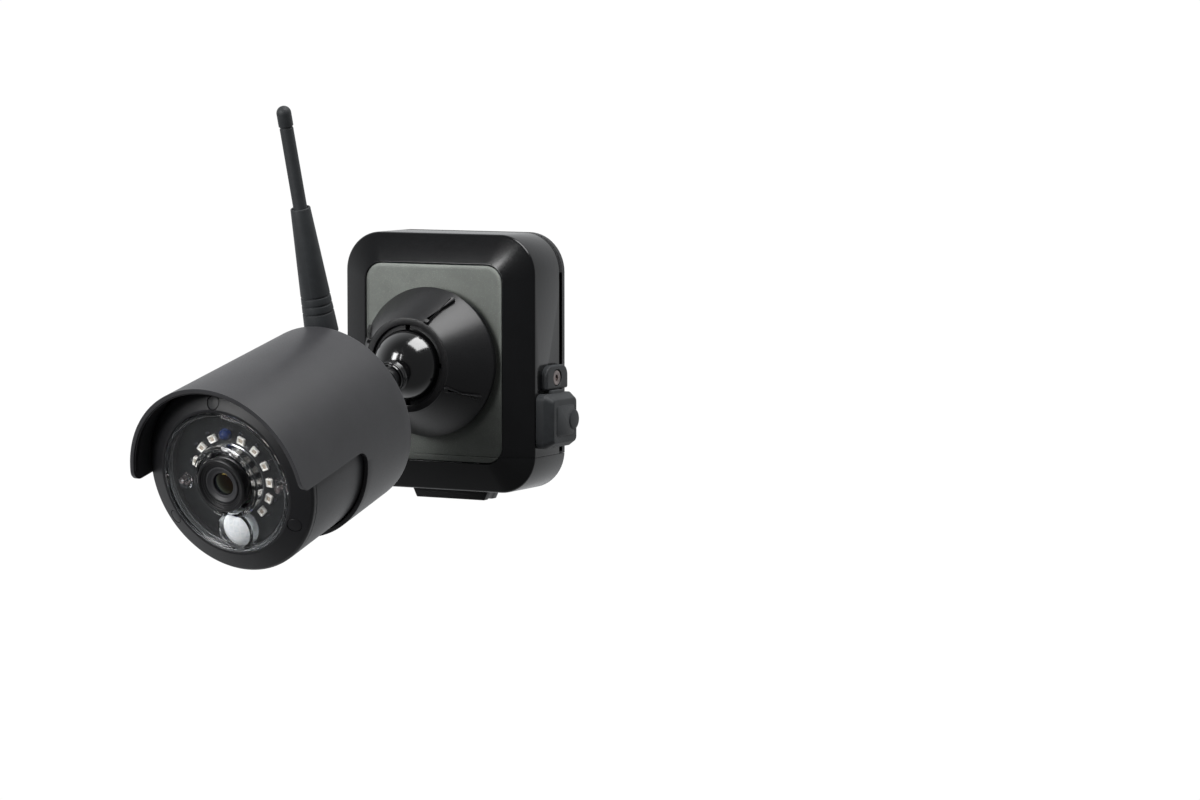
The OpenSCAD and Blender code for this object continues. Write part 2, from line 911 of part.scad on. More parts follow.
module neck() {
    color(black_satin) in_head() difference() {
        union() {
            rod(neck_spigot_r - 0.01, neck_foot, ball_front + 0.2);
            rod(neck_r, ball_front, neck_end);
            for (k = [0 : grip_count - 1]) {
                s = grip_first + k * grip_step;
                rod(neck_r + 0.5, s, s + grip_t);
            }
        }
        rod(lead_bore_r, 0, neck_end + 1);
        tube(neck_r + 1, neck_r - 0.6, cap_plate + cap_plate_t + 0.4, cap_plate + cap_plate_t + clip_t + 0.6);
    }
}

module neck_nut() {
    color(steel) in_head() difference() {
        translate([0, 0, cap_boss - nut_t - 0.2]) cylinder(r = nut_r, h = nut_t, $fn = 6);
        rod(neck_r, 0, cap_boss);
    }
}

module neck_clip() {
    s = cap_plate + cap_plate_t + 0.5;
    color(steel) in_head() difference() {
        tube(clip_r, neck_r - 0.58, s, s + clip_t);
        translate([-clip_gap / 2, 0, s - 1]) cube([clip_gap, 10, clip_t + 2]);
    }
}

module power_lead() color(rubber_black) in_head() rod(lead_r, -13, neck_end + 4);

// ---------- Camera head ----------

module rear_cap() {
    in_front = cap_plate + cap_plate_t;
    color(black_satin) in_head() difference() {
        union() {
            rotate_extrude() polygon([
                [neck_r + run_fit, cap_boss],
                [cap_boss_r, cap_boss],
                [cap_boss_r + 0.8, cap_boss + 0.8],
                [cap_dish_r, cap_plate - 2.5],
                [cap_foot_r, cap_plate],
                [cap_rim_r - 0.8, cap_plate],
                [cap_rim_r, cap_plate + 0.8],
                [cap_rim_r, in_front],
                [neck_r + run_fit, in_front]
            ]);
            tube(barrel_bore_r - 0.2, barrel_bore_r - 2.2, in_front, in_front + cap_collar_t);
        }
        translate([jack_x, jack_up, 0]) rod(jack_r + 0.05, cap_plate - 1, in_front + 1);
        for (turn = rear_screw_turns) {
            rotate(turn) translate([rear_screw_at, 0, 0]) {
                rod(rear_screw_r + 0.3, cap_plate - 1, in_front + cap_collar_t + 2);
                cone(rear_sink_r, rear_screw_r + 0.2, cap_plate - 0.01, cap_plate + rear_sink);
                translate([boss_shift, 0, 0]) rod(boss_r + 0.2, in_front, in_front + cap_collar_t + 2);
            }
        }
    }
}

module rear_gasket() {
    s = cap_plate + cap_plate_t;
    color(rubber_black) in_head() tube(cap_rim_r - 0.2, barrel_bore_r - 0.15, s, barrel_back);
}

module rear_screws() {
    color(steel) in_head() {
        for (turn = rear_screw_turns) {
            rotate(turn) translate([rear_screw_at, 0, cap_plate]) mirror([0, 0, 1])
                flat_screw(rear_screw_r, rear_boss_len - 2, rear_sink_r - 0.2);
        }
    }
}

module barrel() {
    ledge = led_board_front - led_board_t;
    color(black_satin) in_head() difference() {
        union() {
            difference() {
                cone(barrel_rear_r, barrel_front_r, barrel_back, barrel_front);
                rod(barrel_bore_r, barrel_back - 1, barrel_front + 1);
            }
            tube(barrel_bore_r + 0.5, led_board_r - 1.2, ledge - 1.4, ledge);
            for (turn = rear_screw_turns) {
                rotate(turn) translate([rear_screw_at + boss_shift, 0, 0]) {
                    rod(boss_r, barrel_back + boss_recess, barrel_back + rear_boss_len);
                }
            }
            for (turn = plug_turns) {
                rotate(turn) translate([plug_at, 0, 0]) rod(plug_boss_r, plug_boss_back, barrel_front);
            }
        }
        for (turn = rear_screw_turns) {
            rotate(turn) translate([rear_screw_at, 0, 0])
                rod(rear_screw_r, barrel_back - 1, barrel_back + rear_boss_len - 4);
        }
        for (turn = plug_turns) {
            rotate(turn) translate([plug_at, 0, 0])
                rod(bezel_screw_r, plug_boss_back + 6, barrel_front + 1);
        }
        rotate(-90) translate([0, 0, shade_screw_s]) rotate([0, 90, 0])
            rod(shade_screw_r, barrel_bore_r - 1, barrel_front_r);
    }
}

function shade_r(s) = shade_rear_r + shade_slope * (s - shade_rear);

// Tapered sleeve around the barrel, cut back underneath so that only a visor reaches forward
module sunshade() {
    edge = shade_edge_r;
    color(charcoal) in_head() difference() {
        rotate_extrude() {
            difference() {
                union() {
                    polygon([
                        [shade_r(shade_rear) - edge, shade_rear],
                        [shade_r(shade_rear + edge), shade_rear + edge],
                        [shade_r(shade_front - 0.5), shade_front - 0.5],
                        [shade_front_r - 0.5, shade_front],
                        [shade_front_r - shade_t - 0.5, shade_front],
                        [shade_front_r - shade_t - 0.5, shade_front - shade_bead_t],
                        [shade_front_r - shade_t - 0.1, shade_front - shade_bead_t - 0.4],
                        [shade_rear_r - shade_t, shade_rear + 1],
                        [shade_rear_r - shade_t, shade_rear]
                    ]);
                    translate([shade_r(shade_rear + edge) - edge, shade_rear + edge]) circle(edge);
                }
                translate([0, shade_rear - 1]) square([shade_rear_r - shade_t, 8]);
            }
        }
        rotate([0, -90, 0]) translate([0, 0, -60]) linear_extrude(120) shade_cutaway();
        rotate(-90) translate([0, 0, shade_screw_s]) rotate([0, 90, 0]) {
            rod(shade_screw_r + 0.2, barrel_bore_r, bezel_r + 10);
            rod(shade_sink_r, shade_r(shade_screw_s) - 0.7, bezel_r + 10);
        }
    }
}

// Side view of what is cut away: x along the axis, y up
module shade_cutaway() {
    r = shade_arch_r;
    top = shade_arch_up;
    translate([shade_cut + r, -60]) square([80, 60 + top]);
    translate([shade_cut, -60]) square([r + 1, 60 + top - r]);
    translate([shade_cut + r, top - r]) circle(r);
    translate([shade_front - visor_corner_r, top]) difference() {
        translate([0, -1]) square(visor_corner_r + 1);
        translate([0, visor_corner_r]) circle(visor_corner_r);
    }
}

module shade_screws() {
    color(steel) in_head() rotate(-90) translate([0, 0, shade_screw_s]) rotate([0, 90, 0])
        translate([0, 0, shade_r(shade_screw_s) + 0.5]) cap_screw(shade_screw_r - 0.05, 6, shade_sink_r - 0.1, 1.1);
}

module front_bezel() {
    color(black_satin) in_head() difference() {
        rotate_extrude() polygon([
            [bezel_bore_r, barrel_front],
            [bezel_r, barrel_front],
            [bezel_r, barrel_front + bezel_side_t],
            [bezel_r - 0.8, barrel_front + 2.7],
            [window_r + 1, bezel_nose],
            [window_r + 0.15, bezel_nose],
            [window_r + 0.15, barrel_front + bezel_seat_t],
            [bezel_bore_r, barrel_front + bezel_seat_t]
        ]);
        for (turn = plug_turns) {
            rotate(turn) translate([plug_at, 0, 0]) {
                rod(plug_r + 0.05, barrel_front + bezel_side_t, bezel_nose + 1);
                rod(bezel_screw_r + 0.2, barrel_front - 1, bezel_nose);
            }
        }
    }
}

module bezel_screws() {
    color(steel) in_head() {
        for (turn = plug_turns) {
            rotate(turn) translate([plug_at, 0, barrel_front + 3]) cap_screw(bezel_screw_r - 0.05, plug_screw_len, bezel_head_r, 1.2);
        }
    }
}

module bezel_plugs() {
    color(black_satin) in_head() {
        for (turn = plug_turns) {
            rotate(turn) translate([plug_at, 0, 0]) rod(plug_r, barrel_front + 3, bezel_nose - 1.5);
        }
    }
}

module window_gasket() {
    s = barrel_front + bezel_seat_t;
    color(rubber_black) in_head() tube(window_r, bezel_bore_r + 0.1, s, s + 0.6);
}

// Clear cover with a raised rim, open where the lens and the motion sensor come through
module window() {
    foot = barrel_front + 2.7;
    color(clear_tint) in_head() difference() {
        union() {
            tube(window_r, window_rim_r, foot, window_rim_front);
            tube(window_r - 0.4, window_rim_r + 0.4, window_rim_front - 0.1, window_front);
            rod(window_rim_r + 0.2, window_plate, window_plate + window_plate_t);
            rod(lens_tube_r, tube_back, lens_tube_front);
            intersection() {
                translate([0, pir_up, 0]) rod(pir_r + pir_tube_t, tube_back, pir_tube_front);
                rod(window_rim_r + 0.2, tube_back - 1, lens_tube_front + 1);
            }
        }
        rod(lens_tube_bore_r, tube_back - 1, lens_tube_front + 1);
        translate([0, pir_up, 0]) rod(pir_r + 0.2, tube_back - 1, lens_tube_front + 1);
    }
}

module led_board() {
    back = led_board_front - led_board_t;
    color(board_black) in_head() difference() {
        rod(led_board_r, back, led_board_front);
        rod(led_board_hole_r, back - 1, led_board_front + 1);
    }
}

module ir_leds() {
    color(lamp_white) in_head() {
        for (turn = led_turns) {
            rotate(turn) translate([led_ring_r, 0, 0]) difference() {
                slab(led_size, led_size, led_board_front, led_board_front + led_h);
                cone(led_well_r - 0.25, led_well_r, led_board_front + led_h - 0.4, led_board_front + led_h + 0.1);
            }
        }
    }
}

module status_leds() {
    color(clear_tint) in_head() {
        for (at = status_led_at) {
            translate(at) {
                rod(status_led_r + 0.4, led_board_front, led_board_front + 0.8);
                rod(status_led_r, led_board_front + 0.4, led_board_front + status_dome_s);
                intersection() {
                    translate([0, 0, led_board_front + status_dome_s]) sphere(status_led_r);
                    rod(status_led_r + 0.4, led_board_front + 0.4, led_board_front + 2 * status_led_r);
                }
            }
        }
    }
}

module light_sensor() {
    color(filter_blue) in_head() translate([0, light_sensor_up, 0]) {
        rod(light_sensor_r, led_board_front, led_board_front + 2.2);
        intersection() {
            translate([0, 0, led_board_front]) sphere(light_sensor_h);
            rod(light_sensor_r, led_board_front, led_board_front + light_sensor_h + 0.5);
        }
    }
}

module pir_lens() {
    dome_r = pir_dome_r;
    top = pir_front;
    color(milky) in_head() translate([0, pir_up, 0]) difference() {
        intersection() {
            rod(pir_r, led_board_front, top + 1);
            translate([0, 0, top - dome_r]) sphere(dome_r);
        }
        intersection() {
            rod(pir_r - pir_t, led_board_front - 1, top);
            translate([0, 0, top - dome_r]) sphere(dome_r - pir_t);
        }
    }
}

module pir_sensor() {
    color(steel) in_head() translate([0, pir_up, 0]) {
        rod(pir_can_r + 0.7, led_board_front, led_board_front + 0.5);
        rod(pir_can_r, led_board_front, led_board_front + pir_can_h);
    }
}

module lens_barrel() {
    color(black_satin) in_head() rotate_extrude() polygon([
        [lens_bore_r, lens_back],
        [lens_thread_r, lens_back],
        [lens_thread_r, lens_thread_front],
        [lens_body_r, lens_thread_front],
        [lens_body_r, lens_front - 3],
        [lens_ring_r, lens_front - 2.4],
        [lens_ring_r, lens_front - 0.4],
        [lens_ring_r - 0.4, lens_front],
        [lens_lip_r, lens_front],
        [lens_lip_r - 0.4, lens_front - 0.9],
        [iris_r + 0.05, lens_front - 1.4],
        [iris_r + 0.05, lens_front - 3],
        [lens_bore_r, lens_front - 3]
    ]);
}

module lens_ring() {
    color(charcoal) in_head() rotate_extrude() polygon([
        [glass_r, lens_front - 3],
        [iris_r, lens_front - 3],
        [iris_r, lens_front - 1.2],
        [iris_r - 0.5, lens_front - 1.1],
        [glass_r, lens_front - 2]
    ]);
}

module front_lens() {
    dome_r = glass_dome_r;
    color(glass_tint) in_head() intersection() {
        rod(glass_r - 0.02, lens_front - 3, lens_front);
        translate([0, 0, lens_front - 1.6 - dome_r]) sphere(dome_r);
    }
}

module lens_holder() {
    foot = sensor_board_front;
    color(charcoal) in_head() difference() {
        union() {
            slab(holder_w, holder_w, foot, foot + holder_h);
            rod(holder_neck_r, foot + holder_h - 1, foot + 2 * holder_h);
        }
        slab(holder_cavity_w, holder_cavity_w, foot - 1, foot + holder_h / 2);
        rod(lens_thread_r + 0.02, foot + 2, foot + 2 * holder_h + 1);
    }
}

module image_sensor() {
    color(chip_black) in_head() {
        slab(imager_w, imager_w, sensor_board_front, sensor_board_front + 0.8);
        slab(imager_field[0], imager_field[1], sensor_board_front + 0.7, sensor_board_front + 1.1);
    }
}

module sensor_board() {
    color(board_green) in_head()
        slab(sensor_board_w, sensor_board_w, sensor_board_front - board_t, sensor_board_front);
}

module main_board() {
    color(board_green) in_head() {
        slab(main_board_w, main_board_w, main_board_front - board_t, main_board_front);
        translate([0, 8, 0]) slab(18, 14, main_board_front - board_t - chip_h, main_board_front - board_t);
        translate([-8, -10, 0]) slab(12, 12, main_board_front, main_board_front + 1.4);
        translate([10, -10, 0]) slab(8, 10, main_board_front, main_board_front + 1.2);
    }
}

module board_posts() {
    color(brass) in_head() {
        for (x = [-1, 1], y = [-1, 1]) {
            translate([x * board_post_at, y * board_post_at, 0]) {
                translate([0, 0, main_board_front])
                    cylinder(r = board_post_r, h = sensor_board_front - board_t - main_board_front, $fn = 6);
                translate([0, 0, sensor_board_front])
                    cylinder(r = board_post_r, h = led_board_front - led_board_t - sensor_board_front, $fn = 6);
            }
        }
    }
}

// ---------- Antenna ----------

module antenna_jack() {
    in_front = cap_plate + cap_plate_t;
    color(brass) in_head() translate([jack_x, jack_up, 0]) {
        rod(jack_r, fold_s + 5.8, in_front + 4);
        translate([0, 0, cap_plate - 2]) cylinder(r = 5, h = 2, $fn = 6);
        translate([0, 0, in_front]) cylinder(r = 4.8, h = 2, $fn = 6);
    }
}

module antenna_knuckle() {
    nut_back = fold_s + 4.2;
    color(rubber_black) in_head() translate([jack_x, jack_up, 0]) difference() {
        union() {
            rod(connector_r, nut_back - 1, cap_plate - 2.3);
            for (side = [-1, 1]) {
                x0 = side > 0 ? tongue_t / 2 + tongue_gap : -ear_out;
                translate([x0, 0, fold_s]) rotate([0, 90, 0])
                    cylinder(r = knuckle_r, h = ear_out - tongue_t / 2 - tongue_gap);
                intersection() {
                    translate([x0, -knuckle_r, fold_s])
                        cube([ear_out - tongue_t / 2 - tongue_gap, 2 * knuckle_r, ear_h]);
                    rod(ear_out + 0.7, fold_s - 1, fold_s + ear_h + 1);
                }
            }
        }
        rod(jack_r + run_fit, nut_back + 0.1, cap_plate);
        translate([-ear_out - 1, 0, fold_s]) rotate([0, 90, 0]) cylinder(r = fold_pin_r, h = 2 * ear_out + 2);
        translate([-tongue_t / 2 - tongue_gap, 0, fold_s]) rotate([0, 90, 0])
            cylinder(r = knuckle_r + 0.3, h = tongue_t + 2 * tongue_gap);
    }
}

module antenna_pin() {
    color(steel) on_antenna() rotate([0, 90, 0]) rod(fold_pin_r, -ear_out, ear_out);
}

module antenna_body() {
    foot = sleeve_foot - jack_up;
    top = sleeve_top - jack_up;
    tip = antenna_top - jack_up;
    taper = (sleeve_foot_r - sleeve_top_r) / (top - foot);
    color(rubber_black) on_antenna() difference() {
        union() {
            rotate([0, 90, 0]) rod(knuckle_r - 0.1, -tongue_t / 2, tongue_t / 2);
            slab(tongue_t, tongue_w, 0, foot + 1);
            cone(sleeve_foot_r, sleeve_top_r, foot, top);
            rod(whip_r, top - 1, tip - tip_len);
            rod(whip_r - 0.3, tip - tip_len - 1, tip - tip_len + 1);
            rod(tip_r, tip - tip_len + 0.6, tip - whip_r);
            translate([0, 0, tip - tip_r]) sphere(tip_r);
        }
        rotate([0, 90, 0]) rod(fold_pin_r + run_fit, -ear_out, ear_out);
        for (up = groove_ups) {
            z = up - jack_up;
            r = sleeve_foot_r - taper * (z - foot);
            tube(r + 2, r - groove_depth, z, z + groove_w);
        }
        tube(sleeve_top_r + 1, whip_r + 0.5, top - 0.6, top + 1);
    }
}

front_shell();
front_panel();
back_cover();
cover_screws();
wall_insert();
charge_board();
usb_socket();
button_switch();
pair_button();
port_anchor();
port_screw();
port_cap();
bay_contacts();
battery_cap();
cap_trim();
cap_seal();
battery_tray();
tray_screws();
battery_cells();
cell_contacts();
release_latch();
ball_socket();
socket_screws();
pressure_ring();
collar();
seat_pad();
ball();
neck();
neck_nut();
neck_clip();
power_lead();
rear_cap();
rear_gasket();
rear_screws();
barrel();
sunshade();
shade_screws();
front_bezel();
bezel_screws();
bezel_plugs();
window();
window_gasket();
led_board();
ir_leds();
status_leds();
light_sensor();
pir_lens();
pir_sensor();
lens_barrel();
lens_ring();
front_lens();
lens_holder();
image_sensor();
sensor_board();
main_board();
board_posts();
antenna_jack();
antenna_knuckle();
antenna_pin();
antenna_body();
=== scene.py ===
"""Looks of an outdoor bullet camera on a ball mount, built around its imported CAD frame.

Every shape is made in millimetres in one of five local frames, whose places and
directions come from the CAD joints, and is then put into the row frame in metres.
"""
import bpy
import bmesh
import json
import math
from mathutils import Matrix, Vector


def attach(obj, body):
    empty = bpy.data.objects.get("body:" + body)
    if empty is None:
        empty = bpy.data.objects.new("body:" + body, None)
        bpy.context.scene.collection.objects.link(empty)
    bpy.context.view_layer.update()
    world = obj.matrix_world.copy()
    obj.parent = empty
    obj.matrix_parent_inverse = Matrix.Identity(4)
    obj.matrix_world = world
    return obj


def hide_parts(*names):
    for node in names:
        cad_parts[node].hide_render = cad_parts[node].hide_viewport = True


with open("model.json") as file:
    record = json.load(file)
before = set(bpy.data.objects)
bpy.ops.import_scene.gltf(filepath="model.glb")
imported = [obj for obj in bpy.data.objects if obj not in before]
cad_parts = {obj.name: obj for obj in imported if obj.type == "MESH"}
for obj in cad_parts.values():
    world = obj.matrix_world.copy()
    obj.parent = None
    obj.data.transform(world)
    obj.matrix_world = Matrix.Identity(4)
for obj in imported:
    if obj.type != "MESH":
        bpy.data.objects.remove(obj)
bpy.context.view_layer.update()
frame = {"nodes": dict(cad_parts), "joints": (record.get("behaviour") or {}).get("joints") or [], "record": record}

MM = 0.001
TAU = 2 * math.pi
SEGMENTS = 144
SMOOTH = math.radians(32)

JOINTS = {j["name"]: j for j in frame["joints"]}
MOUNTS = {m["name"]: m for m in frame["record"]["mounts"]}


# ---------- Frames and measures ----------

def place(origin, x_axis, z_axis):
    """A local frame: z along z_axis, x as near x_axis as it can be."""
    z = Vector(z_axis).normalized()
    x = Vector(x_axis)
    x = (x - z * x.dot(z)).normalized()
    at = Matrix((x, z.cross(x), z)).transposed().to_4x4()
    at.translation = Vector(origin)
    return at


WALL = place((0, 0, 0), (1, 0, 0), (0, -1, 0))
SIDE = place((0, 0, 0), (0, 1, 0), (1, 0, 0))
MOUNT = place(JOINTS["collar_turn"]["pos_m"], (1, 0, 0), JOINTS["collar_turn"]["axis"])
HEAD = place(JOINTS["head_roll"]["pos_m"], JOINTS["antenna_fold"]["axis"], JOINTS["head_roll"]["axis"])
ANTENNA = place(JOINTS["antenna_fold"]["pos_m"], JOINTS["antenna_fold"]["axis"], HEAD.col[1].xyz)


def local_points(node, at):
    """A CAD node's vertices in millimetres in a local frame."""
    back = at.inverted()
    return [(back @ v.co) / MM for v in frame["nodes"][node].data.vertices]


def span(node, at):
    """Lowest and highest corner of a CAD node in a local frame."""
    points = local_points(node, at)
    low = Vector([min(p[i] for p in points) for i in range(3)])
    high = Vector([max(p[i] for p in points) for i in range(3)])
    return low, high


def reach(node, at, near=-1e9, far=1e9):
    """Smallest and largest distance from the local z axis, among the points between two heights."""
    found = [math.hypot(p.x, p.y) for p in local_points(node, at) if near <= p.z <= far]
    return min(found), max(found)


def clusters(node, at):
    """Centres, across the local z axis, of the separate solids of a node."""
    mesh = frame["nodes"][node].data
    points = local_points(node, at)
    spots = [tuple(round(c, 3) for c in p) for p in points]
    parent = {spot: spot for spot in spots}

    def root(spot):
        while parent[spot] != spot:
            parent[spot] = parent[parent[spot]]
            spot = parent[spot]
        return spot

    for edge in mesh.edges:
        parent[root(spots[edge.vertices[0]])] = root(spots[edge.vertices[1]])
    groups = {}
    for spot in spots:
        groups.setdefault(root(spot), []).append(spot)
    centres = []
    for group in groups.values():
        xs = [p[0] for p in group]
        ys = [p[1] for p in group]
        centres.append(((min(xs) + max(xs)) / 2, (min(ys) + max(ys)) / 2))
    return sorted(centres)


def centre(node, at):
    """Middle of a CAD node's box in a local frame."""
    low, high = span(node, at)
    return (low + high) / 2


# ---------- Mesh helpers ----------

def rounded(points, closed=True, steps=4):
    """Corner points (a, b, radius) as a line whose corners are true arcs."""
    out = []
    count = len(points)
    for i, (a, b, radius) in enumerate(points):
        here = Vector((a, b))
        if radius <= 0 or (not closed and i in (0, count - 1)):
            out.append(here)
            continue
        back = Vector(points[i - 1][:2]) - here
        ahead = Vector(points[(i + 1) % count][:2]) - here
        half = back.angle(ahead) / 2
        cut = min(radius / math.tan(half), 0.49 * min(back.length, ahead.length))
        arc = cut * math.tan(half)
        middle = (back.normalized() + ahead.normalized()).normalized()
        centre = here + middle * (arc / math.sin(half))
        first = here + back.normalized() * cut - centre
        last = here + ahead.normalized() * cut - centre
        a0 = math.atan2(first.y, first.x)
        turn = (math.atan2(last.y, last.x) - a0 + math.pi) % TAU - math.pi
        for k in range(steps + 1):
            t = a0 + turn * k / steps
            out.append(centre + Vector((arc * math.cos(t), arc * math.sin(t))))
    return out


def arc(centre, radius, start, end, steps):
    """Points of an arc in the (radius, height) plane, angles in degrees."""
    angles = [math.radians(start + (end - start) * k / steps) for k in range(steps + 1)]
    return [Vector((centre[0] + radius * math.cos(t), centre[1] + radius * math.sin(t))) for t in angles]


def outward(bm):
    """Turns the faces of a mesh outwards, and hands it on."""
    bmesh.ops.recalc_face_normals(bm, faces=bm.faces[:])
    return bm


def moved(bm, matrix):
    """Moves a mesh by a matrix, and hands it on."""
    bmesh.ops.transform(bm, matrix=matrix, verts=bm.verts[:])
    return bm


def lathe(profile, closed=True, segments=SEGMENTS):
    """Turns a profile of (radius, height) points about the local z axis."""
    bm = bmesh.new()
    turns = [TAU * k / segments for k in range(segments)]
    rings = []
    for r, z in profile:
        if r < 1e-6:
            rings.append([bm.verts.new((0, 0, z))] * segments)
        else:
            rings.append([bm.verts.new((r * math.cos(t), r * math.sin(t), z)) for t in turns])
    follow = rings[1:] + rings[:1] if closed else rings[1:]
    for a, b in zip(rings, follow):
        for k in range(segments):
            n = (k + 1) % segments
            corners = list(dict.fromkeys([a[k], a[n], b[n], b[k]]))
            if len(corners) > 2:
                bm.faces.new(corners)
    return outward(bm)


def spun(points, steps=4, segments=SEGMENTS, closed=False):
    """A turned solid from corner points (radius, height, rounding)."""
    return lathe(rounded(points, closed, steps), closed, segments)


def crown(height, radius, start, steps):
    """Arc about a centre on the z axis, from an angle in degrees up to the axis."""
    points = arc((0, height), radius, start, 90, steps)
    points[-1].x = 0
    return points


def loft(rings, caps=True):
    """Skins rings that have the same number of points, with a face on each end."""
    bm = bmesh.new()
    rows = [[bm.verts.new(p) for p in ring] for ring in rings]
    count = len(rows[0])
    for a, b in zip(rows, rows[1:]):
        for k in range(count):
            n = (k + 1) % count
            bm.faces.new((a[k], a[n], b[n], b[k]))
    if caps:
        bm.faces.new(rows[0])
        bm.faces.new(rows[-1])
    return outward(bm)


def rect_ring(w, h, radii, z, steps=10, middle=(0, 0)):
    """Rounded rectangle. radii are those of the upper right, upper left, lower left and lower right."""
    if not hasattr(radii, "__len__"):
        radii = [radii] * 4
    points = []
    sides = ((1, 1), (-1, 1), (-1, -1), (1, -1))
    for quarter, ((sx, sy), r) in enumerate(zip(sides, radii)):
        for k in range(steps + 1):
            t = TAU / 4 * (quarter + k / steps)
            x = middle[0] + sx * (w / 2 - r) + r * math.cos(t)
            y = middle[1] + sy * (h / 2 - r) + r * math.sin(t)
            points.append((x, y, z))
    return points


def block(low, high, radius, edge, steps=3):
    """A box with rounded corners across z and rounded edges top and bottom."""
    w, h = high[0] - low[0], high[1] - low[1]
    middle = ((low[0] + high[0]) / 2, (low[1] + high[1]) / 2)
    foot, top = low[2], high[2]
    sizes = rounded([(edge, foot, 0), (0, foot, edge), (0, top, edge), (edge, top, 0)], False, steps)
    sizes = [Vector((edge, foot))] + [s for s in sizes if s.x < edge - 1e-6] + [Vector((edge, top))]
    rings = [rect_ring(w - 2 * s.x, h - 2 * s.x, max(radius - s.x, 0.05), s.y, 5, middle) for s in sizes]
    return loft(rings)


def merged(*parts):
    """One mesh from several. The parts are used up."""
    out = bmesh.new()
    for bm in parts:
        mesh = bpy.data.meshes.new("part")
        bm.to_mesh(mesh)
        bm.free()
        out.from_mesh(mesh)
        bpy.data.meshes.remove(mesh)
    return out


def shifted(x=0.0, y=0.0, z=0.0):
    return Matrix.Translation((x, y, z))


def turned(degrees, axis="Z"):
    return Matrix.Rotation(math.radians(degrees), 4, axis)


def keep_side(bm, y, side):
    """Cuts a mesh at a local height y, keeps what lies above (side 1) or below (side -1), and closes it."""
    geometry = bm.verts[:] + bm.edges[:] + bm.faces[:]
    cut = bmesh.ops.bisect_plane(
        bm, geom=geometry, plane_co=(0, y, 0), plane_no=(0, -side, 0), clear_outer=True
    )["geom_cut"]
    edges = [e for e in cut if isinstance(e, bmesh.types.BMEdge)]
    bmesh.ops.triangle_fill(bm, use_beauty=True, edges=edges, normal=(0, -side, 0))
    return outward(bm)


def solid(name, bm, at):
    """An object in the row frame, in metres, from a mesh in local millimetres."""
    mesh = bpy.data.meshes.new(name)
    moved(bm, at @ Matrix.Scale(MM, 4)).to_mesh(mesh)
    bm.free()
    obj = bpy.data.objects.new(name, mesh)
    bpy.context.scene.collection.objects.link(obj)
    return obj


def apply_modifiers(obj):
    bpy.context.view_layer.update()
    graph = bpy.context.evaluated_depsgraph_get()
    mesh = bpy.data.meshes.new_from_object(obj.evaluated_get(graph))
    obj.modifiers.clear()
    old = obj.data
    obj.data = mesh
    bpy.data.meshes.remove(old)


def combine(obj, cutter, operation):
    modifier = obj.modifiers.new(operation.lower(), "BOOLEAN")
    modifier.operation = operation
    modifier.solver = "EXACT"
    modifier.object = cutter
    apply_modifiers(obj)
    bpy.data.objects.remove(cutter)


def piece(name, bm, at, body, slot, nodes=(), cuts=(), joins=(), bevel=0.0, sharp=SMOOTH, look=None):
    """Finishes a piece: joins, cuts, rounded edges, smooth shading, material, body and slot."""
    obj = solid(name, bm, at)
    for extra in joins:
        combine(obj, solid("join", extra, at), "UNION")
    for cut in cuts:
        combine(obj, solid("cut", cut, at), "DIFFERENCE")
    if bevel:
        modifier = obj.modifiers.new("edges", "BEVEL")
        modifier.width = bevel * MM
        modifier.segments = 3
        modifier.limit_method = "ANGLE"
        modifier.angle_limit = math.radians(50)
        apply_modifiers(obj)
    for face in obj.data.polygons:
        face.use_smooth = True
    obj.data.set_sharp_from_angle(angle=sharp)
    obj.data.materials.clear()
    obj.data.materials.append(MATERIALS[look or slot])
    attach(obj, body)
    if nodes:
        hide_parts(*nodes)
    return obj


def rod(radius, near, far, edge=0.0, segments=64):
    """A closed round bar along z, with rounded ends."""
    return spun([(0, near, 0), (radius, near, edge), (radius, far, edge), (0, far, 0)], 4, segments)


# ---------- Materials ----------

